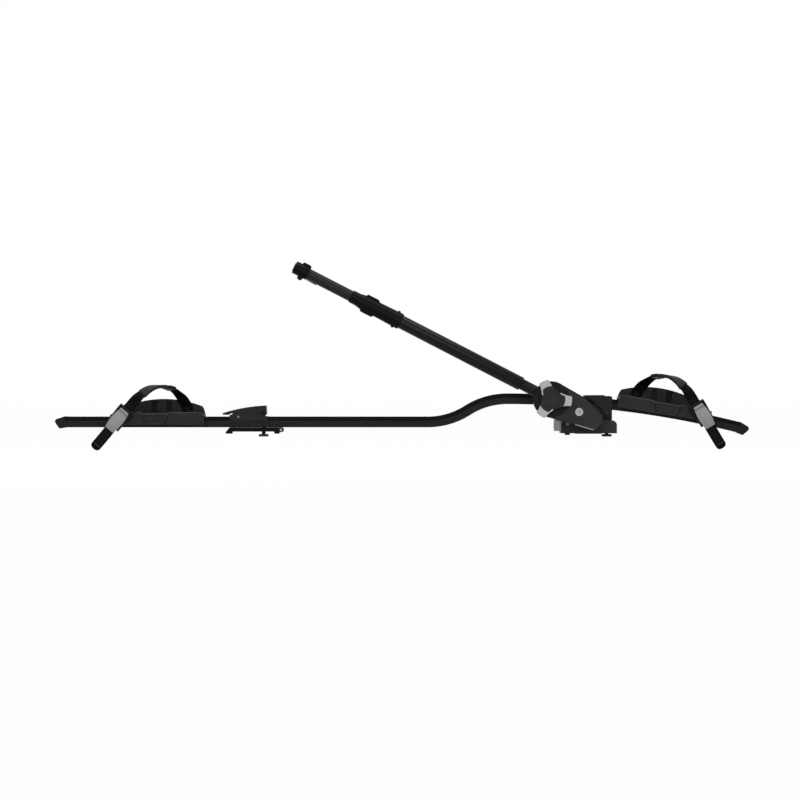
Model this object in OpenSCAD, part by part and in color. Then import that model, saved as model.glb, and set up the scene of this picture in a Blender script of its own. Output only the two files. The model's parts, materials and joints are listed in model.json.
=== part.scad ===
// Roof mounted bike carrier: rail, two wheel trays, two feet and a folding frame holder.
// X runs along the rail to the front, Y runs across it, Z is up.
// The origin is on the roof bar, under the middle of the front foot's rubber pad.

/* [Rail] */
// Width of the rail
rail_w = 40; // [37:0.5:43]
// Height of the rail
rail_h = 22.5; // [20.5:0.5:24.5]
// Width of the raised track along its top
track_w = 30; // [27:0.5:32]
// Height of that track
track_h = 8.5; // [7:0.5:10]
// Wall of the extrusion
rail_wall = 2.4; // [1.8:0.1:3]
// Radius of each bend, at mid height of the rail
bend_r = 155; // [140:5:180]
// Turn of each bend, in degrees
bend_angle = 32.5; // [30:0.5:35]
// Radius of the long crown at the front
crown_r = 2000; // [1800:50:2400]
// Length of the crown along its curve
crown_length = 490; // [475:5:520]
// Distance from the start of the crown to the middle of the front foot
crown_back = 170; // [160:2:180]
// Height of the low rail's underside above the roof bars
rail_ride = 13.4; // [12:0.2:15]
// Length of an end cap outside the rail
cap_length = 22; // [18:1:26]
// Length of an end cap's plug inside the rail
cap_plug = 18; // [12:1:24]

/* [Wheel trays] */
// Length of a tray
tray_length = 176; // [168:2:184]
// Width of a tray over its walls
tray_w = 84; // [80:1:90]
// Height of the near wall above the rail
near_wall_h = 9; // [7:0.5:12]
// Height of the far wall above the rail
far_wall_h = 37; // [34:0.5:42]
// Radius of the far wall's top edge
far_wall_r = 220; // [200:5:260]
// Depth of the skirts below the top of the rail
skirt_drop = 16.5; // [14:0.5:18]
// Wall of a tray
tray_wall = 3.5; // [3:0.1:4.5]
// Middle of the rear tray, from the rear end of the rail
rear_tray_in = 204; // [190:2:220]
// Middle of the rear tray, behind the rear draw bolt
rear_tray_back = 211.5; // [208:0.5:220]
// Middle of the front tray, along the crown
front_tray_along = 319; // [310:1:330]

/* [Straps] */
// Width of a strap
strap_w = 25; // [22:0.5:27]
// Thickness of a strap
strap_t = 3; // [2.4:0.1:3.4]
// Width of the rim protector pad on a strap
strap_pad_w = 31; // [30:0.5:34]
// Thickness of that pad
strap_pad_t = 7.6; // [7:0.1:9]
// Length of a buckle lever
buckle_length = 50; // [46:1:54]
// Width of a buckle between its cheeks
buckle_w = 27.6; // [27.6:0.2:30]
// Diameter of a buckle pin
buckle_pin_d = 4; // [3:0.2:5]
// Diameter of the rivet that holds a strap
strap_pin_d = 6; // [5:0.5:8]

/* [Feet] */
// Distance between the two roof bars
bar_spacing = 720; // [700:5:740]
// Length of the front foot
foot_length = 116; // [112:1:124]
// Width of the front foot
foot_w = 100; // [96:1:110]
// Height of the front foot's deck
foot_h = 28; // [26:0.5:30]
// Distance of the front draw bolt ahead of the foot's middle
bolt_ahead = 39; // [37:0.5:42]
// Length of the rubber pad under the front foot
pad_length = 54; // [46:1:56]
// Width of the rubber pad under the front foot
pad_w = 84; // [70:1:90]
// Thickness of the rubber pads
pad_t = 3; // [2.5:0.1:4]
// Side of the square head of a draw bolt
t_head = 20; // [18:0.5:21]
// Height of the head of a draw bolt
t_head_h = 5; // [4:0.5:7]
// Diameter of a draw bolt
draw_bolt_d = 8; // [7:0.5:9]
// Diameter of a lever pin
lever_pin_d = 6; // [5:0.5:7]
// Diameter of the hand knob
knob_d = 58; // [54:1:60]
// Height of the hand knob
knob_h = 26; // [22:0.5:28]
// Diameter of the hand knob's bolt
knob_bolt_d = 8; // [7:0.5:10]
// Length of the rear lever
rear_lever_length = 94; // [88:1:100]
// Width of the rear foot's plate
rear_foot_w = 52; // [48:1:60]
// How far the rear foot can move back from the pose shown
foot_travel_back = 20; // [10:1:30]
// How far the rear foot can move forward from the pose shown
foot_travel_ahead = 110; // [80:5:120]

/* [Frame holder] */
// Angle of the arm above the rail, in degrees
arm_angle = 27.3; // [24:0.1:32]
// Distance of the arm's axis from the middle of the rail
arm_offset = 75; // [73:0.5:80]
// Height of the arm's hinge above the roof bar
hinge_h = 27; // [26:0.5:29]
// Diameter of the arm's hinge pin
hinge_d = 12; // [10:0.5:14]
// Distance from the hinge to the dial
dial_reach = 98; // [95:1:102]
// Radius of the housing round the dial
housing_r = 37.5; // [36:0.5:39]
// Half height of the housing behind the hinge
housing_end_r = 20.5; // [19:0.5:22]
// Radius of the corners of that end
end_corner_r = 5; // [4:0.5:6]
// Thickness of the housing across its two shells
housing_t = 46; // [45:0.5:50]
// Wall of the housing
housing_wall = 3; // [2.5:0.1:3.5]
// Diameter of the lower tube
tube_d = 28.5; // [28:0.1:30]
// Wall of the lower tube
tube_wall = 1.6; // [1.4:0.1:1.8]
// Diameter of the sliding upper tube
slide_d = 23.2; // [22.6:0.1:23.4]
// Wall of the upper tube
slide_wall = 2; // [1.6:0.1:2.4]
// Length of the neck between the housing and the lower tube
neck_length = 32.5; // [30:0.5:40]
// Diameter of that neck
neck_d = 23; // [21:0.5:24]
// Length of the lower tube
tube_length = 370; // [360:5:385]
// Length of the collar of the lower jaw over the tube
collar_length = 116; // [110:1:124]
// Length of the upper tube
slide_length = 342; // [330:2:350]
// How far the upper tube stands out of the collar with the jaws open
slide_out = 124; // [118:1:130]
// Travel of the upper jaw
jaw_travel = 80; // [60:1:84]
// Reach of the jaws past the middle of the rail
jaw_reach = 50; // [44:1:54]
// Radius of the hollow of each jaw
jaw_r = 75; // [72:1:85]
// Thickness of a jaw pad
jaw_pad_t = 8; // [6:0.5:9]
// Height of a jaw
jaw_h = 23; // [20:0.5:24]
// Diameter of the lead screw
screw_d = 10; // [8:0.5:11]
// Diameter of the dial's round base
dial_d = 70; // [66:1:74]
// Diameter over the dial's three grips
grip_d = 83; // [80:1:88]
// Height of the dial
dial_h = 28; // [24:1:32]
// Turn of the dial's grips, in degrees
grip_turn = 38; // [0:1:120]
// Diameter of the dial's shaft
shaft_d = 12; // [10:0.5:13]
// Pitch radius of the mitre gears
gear_r = 12; // [11:0.5:13]
// Number of teeth on each mitre gear
gear_teeth = 12; // [10:2:14]
// Diameter of the lock
lock_d = 17; // [15:0.5:18]
// Distance of the lock from the hinge
lock_reach = 35; // [33:0.5:37]

/* [Fits] */
// Running clearance round a pin or shaft
run_fit = 0.05; // [0.02:0.01:0.08]
// Gap between two pieces that are fastened together
seat_gap = 0.02; // [0.01:0.01:0.05]
// Gap between two pieces that slide or turn past each other
slide_gap = 0.4; // [0.3:0.05:0.6]

/* [Hidden] */
$fn = 64;

black = [0.09, 0.09, 0.10];
soft_black = [0.14, 0.14, 0.15];
warm_grey = [0.20, 0.19, 0.19];
tube_grey = [0.24, 0.24, 0.25];
light_grey = [0.58, 0.59, 0.61];
steel = [0.70, 0.71, 0.73];
dark_steel = [0.13, 0.13, 0.14];

// Places along the rail
low_z = rail_ride + rail_h / 2;
bend_rise = 2 * bend_r * (1 - cos(bend_angle));
bend_run = 2 * bend_r * sin(bend_angle);
high_z = low_z + bend_rise;
crown_x = -crown_back;
bend_x = crown_x - bend_run;
rear_bolt_x = bolt_ahead - bar_spacing;
rear_tray_x = rear_bolt_x - rear_tray_back;
rear_x = rear_tray_x - rear_tray_in;

// Height of the middle of the crown above the roof bar, at a distance ahead of the front foot's middle
function crown_z(x) = high_z - crown_r + sqrt(crown_r * crown_r - (x - crown_x) * (x - crown_x));

// Height of the crown's top there
function crown_top(x) = crown_z(x) + rail_h / 2 / cos(asin((x - crown_x) / crown_r));

// Helpers

// A solid whose outline lies in XZ, from y0 to y1
module across(y0, y1) {
    translate([0, y1, 0]) rotate([90, 0, 0]) linear_extrude(y1 - y0) children();
}

// A solid whose outline lies in YZ, from x0 to x1
module along(x0, x1) {
    translate([x0, 0, 0]) rotate([90, 0, 90]) linear_extrude(x1 - x0) children();
}

module rod_y(r, y0, y1) {
    translate([0, y1, 0]) rotate([90, 0, 0]) cylinder(r = r, h = y1 - y0);
}

module rod_x(r, x0, x1) {
    translate([x0, 0, 0]) rotate([0, 90, 0]) cylinder(r = r, h = x1 - x0);
}

// Points along an arc
function arc(centre, r, from, to, steps) = [
    for (i = [0 : steps]) let (a = from + (to - from) * i / steps) centre + r * [cos(a), sin(a)]
];

// A rectangle about the origin with round corners
module rounded(w, h, r) {
    polygon([
        for (i = [0 : 3])
            let (x = (i == 0 || i == 3) ? 1 : -1, y = i < 2 ? 1 : -1)
            each arc([x * (w / 2 - r), y * (h / 2 - r)], r, 90 * i, 90 * i + 90, 8)
    ]);
}

// Outward direction of the straight run of a belt from one circle [x, y, r] to the next
function belt_way(a, b) =
    let (d = [b[0] - a[0], b[1] - a[1]])
    atan2(d.y, d.x) - acos((a[2] - b[2]) / norm(d));

// Outline of a belt round circles, named in turn and with no hollow between them
module belt(circles, steps) {
    n = len(circles);
    polygon([
        for (i = [0 : n - 1])
            let (
                c = circles[i],
                from = belt_way(circles[(i + n - 1) % n], c),
                to = belt_way(c, circles[(i + 1) % n]),
                turn = (to - from + 720) % 360
            )
            each arc([c[0], c[1]], c[2], from, from + turn, steps[i])
    ]);
}

// Rail

// Middle line of the rail: points, each with the upward direction there
bend_steps = 16;
crown_steps = 48;
crown_angle = crown_length / crown_r * 180 / PI;

function low_bend(a) = [[bend_x, low_z + bend_r] + bend_r * [sin(a), -cos(a)], [-sin(a), cos(a)]];
function high_bend(a) = [[crown_x, high_z - bend_r] + bend_r * [-sin(a), cos(a)], [-sin(a), cos(a)]];
function crown_point(a) = [[crown_x, high_z - crown_r] + crown_r * [sin(a), cos(a)], [sin(a), cos(a)]];

rail_line = [
    [[rear_x, low_z], [0, 1]],
    for (i = [0 : bend_steps]) low_bend(bend_angle * i / bend_steps),
    for (i = [1 : bend_steps - 1]) high_bend(bend_angle * (1 - i / bend_steps)),
    for (i = [0 : crown_steps]) crown_point(crown_angle * i / crown_steps)
];
// The same line, drawn out past both ends
rail_line_out = concat([[[rear_x - 1, low_z], [0, 1]]], rail_line, [crown_point(crown_angle * 1.004)]);

// Side outline of the rail between two heights about its middle line
module rail_strip(line, low, high) {
    polygon(concat(
        [for (p = line) p[0] + high * p[1]],
        [for (i = [len(line) - 1 : -1 : 0]) line[i][0] + low * line[i][1]]
    ));
}

// A body and a narrower track on it, grown by a clearance
module rail_form(line, grow) {
    half = rail_w / 2 + grow;
    track = track_w / 2 + grow;
    top = rail_h / 2 + grow;
    across(-half, half) rail_strip(line, -top, top - track_h);
    across(-track, track) rail_strip(line, -top / 3, top);
}

// Puts a piece at the middle of the rail, at a distance along the crown
module on_crown(distance) {
    turn = distance / crown_r * 180 / PI;
    translate([crown_x + crown_r * sin(turn), 0, high_z - crown_r * (1 - cos(turn))])
        rotate([0, turn, 0]) children();
}

// The slot that the rear draw bolt moves in
slot_w = draw_bolt_d + 2 * slide_gap;

module bolt_slot() {
    back = rear_bolt_x - foot_travel_back;
    ahead = rear_bolt_x + foot_travel_ahead;
    translate([0, 0, low_z - rail_h]) linear_extrude(2 * rail_h) polygon(concat(
        arc([ahead, 0], slot_w / 2, -90, 90, 20), arc([back, 0], slot_w / 2, 90, 270, 20)
    ));
}

module rail() {
    color(black) difference() {
        rail_form(rail_line, 0);
        across(-rail_w / 2 + rail_wall, rail_w / 2 - rail_wall)
            rail_strip(rail_line_out, -rail_h / 2 + rail_wall, rail_h / 2 - track_h - rail_wall);
        across(-track_w / 2 + rail_wall, track_w / 2 - rail_wall)
            rail_strip(rail_line_out, -rail_h / 4, rail_h / 2 - rail_wall);
        bolt_slot();
    }
}

// An end cap, with the rail's end at X 0 and the nose to the front
module end_cap() {
    flare = 1.2;
    half_h = rail_h / 2;
    nose_drop = half_h * 0.45;
    round_r = 9;
    intersection() {
        across(-rail_w, rail_w) polygon([
            [0, -half_h - flare / 2], [cap_length * 0.55, -half_h - 2 * flare],
            [cap_length, 0], [cap_length - 1, half_h - nose_drop - 2],
            [cap_length - 4, half_h - nose_drop], [0, half_h + flare / 2]
        ]);
        translate([0, 0, -rail_h]) linear_extrude(2 * rail_h) intersection() {
            rounded(2 * cap_length, rail_w + flare, round_r);
            translate([0, -rail_w]) square([cap_length, 2 * rail_w]);
        }
    }
    // the plug, with a slot between two springy walls
    plug_gap = 0.12;
    plug_w = rail_w - 2 * rail_wall - 2 * plug_gap;
    plug_h = rail_h - track_h - 2 * rail_wall - 2 * plug_gap;
    plug_z = -rail_h / 2 + rail_wall + plug_gap;
    difference() {
        translate([-cap_plug, -plug_w / 2, plug_z]) cube([cap_plug, plug_w, plug_h]);
        translate([-cap_plug - 1, -plug_w / 4, plug_z - 1]) cube([cap_plug - 3, plug_w / 2, plug_h + 2]);
    }
}

module rear_end_cap() {
    color(black) translate([rear_x, 0, low_z]) mirror([1, 0, 0]) end_cap();
}

module front_end_cap() {
    color(black) on_crown(crown_length) end_cap();
}

// Wheel trays, drawn with the top of the rail at Z 0 and the strap's anchor to the front

module on_rear_tray() {
    translate([rear_tray_x, 0, low_z + rail_h / 2]) children();
}

module on_front_tray() {
    on_crown(front_tray_along) translate([0, 0, rail_h / 2]) mirror([1, 0, 0]) children();
}

// Points along a strap, from its anchor on the far wall over the wheel to its tail
strap_near = tray_w / 2 + 9;
strap_far = tray_w / 2 - tray_wall - slide_gap - strap_t / 2;
// The buckle hangs just past the end of the tray
buckle_out = 5;
buckle_x = -tray_length / 2 - buckle_out;
buckle_z = -8;
strap_route = [
    [51, strap_far, 12], [46, strap_far, 26], [34, strap_far - 4, 43], [19, 18, 56], [2, 2, 61.5],
    [-18, -17, 61], [-35, -34, 54.5],
    [buckle_x + 41, 6 - strap_near, 41], [buckle_x + 24, 1 - strap_near, 21],
    [buckle_x, -strap_near, buckle_z],
    [buckle_x - 25, -strap_near, -37.5], [buckle_x - 50, -strap_near, -67]
];
// Heights above which a strap turns its face from sideways to upwards, on the far and the near side
strap_turn_z = 35;
strap_turn_near_z = 21;
strap_turn_gain = 1.6;
// It goes from one to the other over this width across the top
strap_turn_w = 20;
// Middle of the wheel across the tray
strap_turn_y = -8;
strap_steps = 4;
buckle_at = [buckle_x, -tray_w / 2, buckle_z];
buckle_turn = 130.3;

function unit(v) = v / norm(v);
function route_point(p, i, t) =
    let (a = p[max(i - 1, 0)], b = p[i], c = p[i + 1], d = p[min(i + 2, len(p) - 1)])
    0.5 * (2 * b + (c - a) * t + (2 * a - 5 * b + 4 * c - d) * t * t + (3 * b - a - 3 * c + d) * t * t * t);
function route(p, steps) = [
    for (i = [0 : len(p) - 2], k = [0 : steps - 1]) route_point(p, i, k / steps),
    p[len(p) - 1]
];
function route_way(p, i) = unit(p[min(i + 1, len(p) - 1)] - p[max(i - 1, 0)]);
function strap_face(p) =
    let (
        near = min(1, max(0, 0.5 - p.y / strap_turn_w)),
        far_lean = max(0, p.z - strap_turn_z),
        near_lean = strap_turn_gain * max(0, p.z - strap_turn_near_z)
    )
    unit([0, p.y - strap_turn_y, (1 - near) * far_lean + near * near_lean]);

// Four corners of a flat section across a line, at one of its points
function band_ring(line, i, w, t) =
    let (
        way = route_way(line, i),
        side = unit(cross(strap_face(line[i]), way)) * w / 2,
        face = cross(way, unit(side)) * t / 2
    )
    [line[i] + side + face, line[i] - side + face, line[i] - side - face, line[i] + side - face];

// Faces between two rows of four corners
function ring_faces(a, b) = [
    for (k = [0 : 3]) let (n = (k + 1) % 4)
        each [[a + k, b + k, a + n], [a + n, b + k, b + n]]
];
// The same faces, turned the other way round
function flip(faces) = [for (f = faces) [f[2], f[1], f[0]]];

// A flat band along part of the strap's route; its last rings can be narrowed
module band(w, t, first, last, taper) {
    line = route(strap_route, strap_steps);
    rings = [
        for (i = [first : last])
            band_ring(line, i, w * (i > last - len(taper) ? taper[last - i] : 1), t)
    ];
    end = 4 * (len(rings) - 1);
    polyhedron(
        points = [for (ring = rings, p = ring) p],
        faces = concat(
            [[0, 1, 2], [0, 2, 3]], [for (i = [0 : 4 : end - 4]) each ring_faces(i, i + 4)],
            [[end, end + 2, end + 1], [end, end + 3, end + 2]]
        )
    );
}

// A sleeve along part of the strap's route
module sleeve(w, t, hole_w, hole_t, first, last) {
    line = route(strap_route, strap_steps);
    outer = [for (i = [first : last]) band_ring(line, i, w, t)];
    inner = [for (i = [first : last]) band_ring(line, i, hole_w, hole_t)];
    end = 4 * (len(outer) - 1);
    hole = end + 4;
    polyhedron(
        points = concat([for (ring = outer, p = ring) p], [for (ring = inner, p = ring) p]),
        faces = concat(
            [for (i = [0 : 4 : end - 4]) each ring_faces(i, i + 4)],
            flip([for (i = [0 : 4 : end - 4]) each ring_faces(hole + i, hole + i + 4)]),
            flip(ring_faces(0, hole)), ring_faces(end, hole + end)
        )
    );
}

strap_last = (len(strap_route) - 1) * strap_steps;
strap_pin_at = [49.8, strap_far, 16];

module strap_pin_bore(clear) {
    translate([strap_pin_at.x, 0, strap_pin_at.z])
        rod_y(strap_pin_d / 2 + clear, strap_far - strap_t, tray_w / 2 + 1);
}

module strap() {
    difference() {
        band(strap_w, strap_t, 0, strap_last, [0.45, 0.85]);
        strap_pin_bore(seat_gap);
    }
}

// The pad covers the strap from the top of the arch to the near side
module strap_pad() {
    first = 4 * strap_steps - 2;
    last = 7 * strap_steps;
    sleeve(strap_pad_w, strap_pad_t, strap_w + 2 * slide_gap, strap_t + 2 * slide_gap, first, last);
}

module strap_pin() {
    head = 2;
    inside = strap_far - strap_t / 2 - seat_gap;
    translate([strap_pin_at.x, 0, strap_pin_at.z]) {
        rod_y(strap_pin_d / 2, inside, tray_w / 2 + seat_gap);
        rod_y(strap_pin_d / 2 + 3, inside - head, inside);
        rod_y(strap_pin_d / 2 + 2, tray_w / 2 + seat_gap, tray_w / 2 + seat_gap + head);
    }
}

// Cross section of a tray: two walls and a dished floor over the rail
module tray_section() {
    half = tray_w / 2;
    inner = half - tray_wall;
    dish = 7;
    flat = 12;
    floor_t = 3;
    under = slide_gap;
    polygon([
        [-half, -skirt_drop], [-half, near_wall_h], [-inner, near_wall_h], [-inner, dish],
        [-flat, under + floor_t], [flat, under + floor_t], [inner, dish], [inner, far_wall_h],
        [half, far_wall_h], [half, -skirt_drop], [inner, -skirt_drop], [inner, dish - floor_t],
        [track_w / 2 + slide_gap, under], [-track_w / 2 - slide_gap, under], [-inner, dish - floor_t],
        [-inner, -skirt_drop]
    ]);
}

// Outline that trims a tray seen from its side, with an arched far wall
module tray_side() {
    half = tray_length / 2;
    corner = 6;
    steps = 40;
    step = (tray_length - corner - 1) / steps;
    polygon(concat(
        [[-half, -skirt_drop - 1], [half, -skirt_drop - 1], [half, 3], [half - corner + 2, near_wall_h + 8]],
        [
            for (i = [0 : steps]) let (x = half - corner - 1 - i * step)
                [x, far_wall_h - far_wall_r + sqrt(far_wall_r * far_wall_r - x * x)]
        ]
    ));
}

// Room for the rail under a tray
module rail_room() {
    side = rail_w / 2 + slide_gap;
    track = track_w / 2 + slide_gap;
    polygon([
        [-side, -2 * rail_h], [side, -2 * rail_h], [side, slide_gap - track_h], [track, slide_gap - track_h],
        [track, slide_gap], [-track, slide_gap], [-track, slide_gap - track_h], [-side, slide_gap - track_h]
    ]);
}

module tray() {
    half = tray_w / 2;
    rib_t = 3;
    panel_top = 54;
    panel_bottom = 36;
    panel_at = -14;
    panel_depth = 1.4;
    lug_back = 20;
    difference() {
        intersection() {
            along(-tray_length, tray_length) tray_section();
            across(-tray_w, tray_w) tray_side();
        }
        // lower, recessed panel in the middle of the near wall
        across(-half - 1, -half + panel_depth) polygon([
            [panel_at - panel_top / 2, near_wall_h + 1], [panel_at + panel_top / 2, near_wall_h + 1],
            [panel_at + panel_bottom / 2, -skirt_drop + 3], [panel_at - panel_bottom / 2, -skirt_drop + 3]
        ]);
        translate([panel_at - panel_top / 2, -half - 1, near_wall_h - 4])
            cube([panel_top, tray_wall + 2, near_wall_h]);
        // upright grooves inside the far wall
        for (x = [-20, 11]) translate([x - 7, half - tray_wall - 1, near_wall_h])
            cube([14, 1 + tray_wall / 2, far_wall_h - near_wall_h - 3]);
        strap_pin_bore(seat_gap);
    }
    // cross ribs that ride on the rail
    difference() {
        for (x = [-0.42, -0.14, 0.14, 0.42]) along(x * tray_length - rib_t / 2, x * tray_length + rib_t / 2)
            translate([-half + tray_wall / 2, -skirt_drop + 2]) square([tray_w - tray_wall, skirt_drop + 2]);
        along(-tray_length, tray_length) rail_room();
    }
    // lug behind the buckle
    translate([-tray_length / 2 - lug_back, -half, -skirt_drop])
        cube([lug_back + 2, tray_wall, skirt_drop + near_wall_h - 4]);
}

// Buckle, drawn flat: the strap's tail runs along +X, and +Z is away from the tray
module on_buckle() {
    translate(buckle_at) rotate([0, buckle_turn, 0]) rotate([90, 0, 0]) children();
}

strap_level = strap_near - tray_w / 2;
buckle_pin_x = -buckle_length / 2 + 1;
buckle_pin_z = strap_level + strap_t / 2 + slide_gap + buckle_pin_d / 2 + 2;
cheek_t = 2.6;
buckle_plate_t = 3;

module buckle_base() {
    half = buckle_w / 2;
    back = -buckle_length / 2 - 8;
    bridge = 4;
    top = buckle_pin_z + buckle_pin_d / 2 + 2;
    difference() {
        union() {
            translate([back, -half - cheek_t, seat_gap])
                cube([buckle_length, 2 * (half + cheek_t), buckle_plate_t]);
            for (s = [-1, 1]) translate([0, s * (half + cheek_t / 2) + cheek_t / 2, 0]) rotate([90, 0, 0])
                linear_extrude(cheek_t) polygon([
                    [back, seat_gap], [back, top - 3], [back + 3, top], [buckle_pin_x + 5, top],
                    [buckle_pin_x + 18, strap_level + 1], [back + buckle_length, seat_gap]
                ]);
            translate([back, -half - cheek_t, strap_level + strap_t / 2 + slide_gap])
                cube([bridge, 2 * (half + cheek_t), top - strap_level - strap_t / 2 - slide_gap - 1]);
        }
        translate([buckle_pin_x, 0, buckle_pin_z])
            rod_y(buckle_pin_d / 2 + seat_gap, -half - cheek_t - 1, half + cheek_t + 1);
    }
}

module buckle_pin() {
    half = buckle_w / 2 + cheek_t;
    translate([buckle_pin_x, 0, buckle_pin_z]) rod_y(buckle_pin_d / 2, -half, half);
}

// A slightly arched lever with a barrel on the buckle pin, widest in its middle
module buckle_lever() {
    half = buckle_w / 2 - slide_gap;
    barrel_r = buckle_pin_d / 2 + 2;
    low = buckle_pin_z - buckle_pin_d / 2 - 1.2;
    arch_r = 95;
    flank_r = 105;
    middle = buckle_pin_x + buckle_length / 2 - barrel_r / 2;
    flank = asin((buckle_length / 2 + barrel_r) / flank_r);
    intersection() {
        translate([0, half, 0]) rotate([90, 0, 0]) linear_extrude(2 * half) difference() {
            union() {
                translate([buckle_pin_x, buckle_pin_z]) circle(barrel_r);
                intersection() {
                    translate([0, low + 7.5 - arch_r]) circle(arch_r, $fn = 128);
                    translate([buckle_pin_x, low]) square([buckle_length - 1, 9]);
                }
            }
            translate([buckle_pin_x, buckle_pin_z]) circle(buckle_pin_d / 2 + run_fit);
            translate([buckle_pin_x + 8, low - 1]) square([buckle_length - 22, 3.4]);
        }
        translate([middle, 0, low - barrel_r]) linear_extrude(6 * barrel_r) polygon(concat(
            arc([0, half - flank_r], flank_r, 90 - flank, 90 + flank, 16),
            arc([0, flank_r - half], flank_r, 270 - flank, 270 + flank, 16)
        ));
    }
}

module rear_tray() { color(black) on_rear_tray() tray(); }
module rear_strap() { color(soft_black) on_rear_tray() strap(); }
module rear_strap_pad() { color(tube_grey) on_rear_tray() strap_pad(); }
module rear_strap_pin() { color(dark_steel) on_rear_tray() strap_pin(); }
module rear_buckle_base() { color(black) on_rear_tray() on_buckle() buckle_base(); }
module rear_buckle_lever() { color(light_grey) on_rear_tray() on_buckle() buckle_lever(); }
module rear_buckle_pin() { color(dark_steel) on_rear_tray() on_buckle() buckle_pin(); }
module front_tray() { color(black) on_front_tray() tray(); }
module front_strap() { color(soft_black) on_front_tray() strap(); }
module front_strap_pad() { color(tube_grey) on_front_tray() strap_pad(); }
module front_strap_pin() { color(dark_steel) on_front_tray() strap_pin(); }
module front_buckle_base() { color(black) on_front_tray() on_buckle() buckle_base(); }
module front_buckle_lever() { color(light_grey) on_front_tray() on_buckle() buckle_lever(); }
module front_buckle_pin() { color(dark_steel) on_front_tray() on_buckle() buckle_pin(); }

// Front foot

foot_back = -foot_length / 2;
foot_ahead = foot_length / 2;
foot_lift = 1;
foot_floor = 4;
hinge_x = 6.6;
hinge_boss_r = hinge_d / 2 + 11;
knob_at = [foot_back + 15, 9];
shell_back = arm_offset - housing_t / 2;
foot_near = -shell_back + 2;
near_wall_t = 22;
saddle_wall = 6;
saddle_half = rail_w / 2 + saddle_wall;
front_rail_under = crown_z(bolt_ahead) - rail_h / 2 - 1;
eye_r = lever_pin_d / 2 + 4;
eye_w = 10;
front_pin_z = front_rail_under - eye_r;

module front_foot() {
    corner = 10;
    deck_back = knob_at.x + knob_d / 2 + 4;
    color(black) difference() {
        union() {
            // floor under the knob and the deck
            translate([foot_back, foot_near, foot_lift]) cube([foot_length, foot_w, foot_floor]);
            // near wall with its notch
            across(foot_near, foot_near + near_wall_t) polygon([
                [foot_back, foot_lift], [foot_back, foot_h - 4], [foot_back + 2, foot_h - 2],
                [foot_back + 7, foot_h - 2], [foot_back + 12, foot_h / 2], [foot_back + 24, foot_h - 2],
                [foot_ahead - corner, foot_h - 2], [foot_ahead - corner, foot_lift]
            ]);
            // deck with a rounded front edge
            across(foot_near, foot_near + foot_w) polygon(concat(
                [[deck_back, foot_h], [deck_back, foot_lift], [foot_ahead, foot_lift]],
                arc([foot_ahead - corner, foot_h - corner], corner, 0, 90, 12)
            ));
            // hinge boss
            translate([hinge_x, 0, hinge_h]) rod_y(hinge_boss_r, foot_near, foot_near + near_wall_t);
        }
        translate([hinge_x, 0, hinge_h])
            rod_y(hinge_d / 2 + seat_gap, foot_near - 1, foot_near + near_wall_t - 3);
        // seat of the rubber pad
        translate([-pad_length / 2 - seat_gap, -pad_w / 2 - seat_gap + foot_near + foot_w / 2, foot_lift - 1])
            cube([pad_length + 2 * seat_gap, pad_w + 2 * seat_gap, pad_t - foot_lift + 1]);
        translate([bolt_ahead, 0, 0]) cylinder(d = draw_bolt_d + 2 * seat_gap, h = 2 * foot_h);
        translate([knob_at.x, knob_at.y, 0]) cylinder(d = knob_bolt_d + 2 * seat_gap, h = foot_h);
        // pockets in the far face
        for (i = [0 : 2]) translate([deck_back + 5 + i * 19, foot_near + foot_w - 18, foot_lift + foot_floor])
            cube([15, 20, foot_h - foot_floor - foot_lift - 4]);
    }
}

module front_foot_pad() {
    color(soft_black) translate([-pad_length / 2, foot_near + foot_w / 2 - pad_w / 2, 0])
        cube([pad_length, pad_w, pad_t - seat_gap]);
}

// Block between the foot and the crown; its cheeks hold the rail's sides
module front_saddle() {
    back = 6;
    ahead = foot_ahead - 9;
    cheek_top = crown_z(ahead) + rail_h / 2 - track_h - 2;
    color(black) difference() {
        translate([back, -saddle_half, foot_h + seat_gap])
            cube([ahead - back, 2 * saddle_half, cheek_top - foot_h]);
        rail_form(rail_line, seat_gap);
        translate([bolt_ahead, 0, 0]) cylinder(d = draw_bolt_d + 2 * seat_gap, h = 2 * front_pin_z);
        // clearance round the eye and the pin
        translate([bolt_ahead, 0, front_pin_z])
            rod_y(eye_r + slide_gap, -eye_w / 2 - slide_gap, eye_w / 2 + slide_gap);
        translate([bolt_ahead, 0, front_pin_z])
            rod_y(lever_pin_d / 2 + slide_gap, -saddle_half - 1, saddle_half + 1);
        // hollows between the cheeks and the core
        for (s = [-1, 1]) translate([back - 1, s * saddle_half * 0.62 - 5, foot_h + 4])
            cube([ahead - back - 20, 10, front_rail_under - foot_h - 8]);
    }
}

// A draw bolt: an eye on the lever pin, a shank and a square head in the bar's track
module draw_bolt(pin_z) {
    head_top = -1;
    difference() {
        union() {
            translate([0, 0, pin_z]) rod_y(eye_r, -eye_w / 2, eye_w / 2);
            translate([0, 0, head_top - 1]) cylinder(d = draw_bolt_d, h = pin_z - head_top - eye_r + 2);
            translate([-t_head / 2, -t_head / 2, head_top - t_head_h]) cube([t_head, t_head, t_head_h]);
        }
        translate([0, 0, pin_z]) rod_y(lever_pin_d / 2 + seat_gap, -eye_w, eye_w);
    }
}

module front_t_bolt() { color(dark_steel) translate([bolt_ahead, 0, 0]) draw_bolt(front_pin_z); }

lever_cheek_in = saddle_half + slide_gap;
lever_cheek_t = 5;

module front_lever_pin() {
    out = lever_cheek_in + lever_cheek_t;
    head = 2;
    color(dark_steel) translate([bolt_ahead, 0, front_pin_z]) {
        rod_y(lever_pin_d / 2, -out, out);
        for (s = [-1, 1]) translate([0, s * (out + head / 2 + slide_gap / 2), 0])
            rod_y(lever_pin_d / 2 + 1.5, -head / 2, head / 2);
        rod_y(lever_pin_d / 2 - 0.5, -out - slide_gap, out + slide_gap);
    }
}

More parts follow.
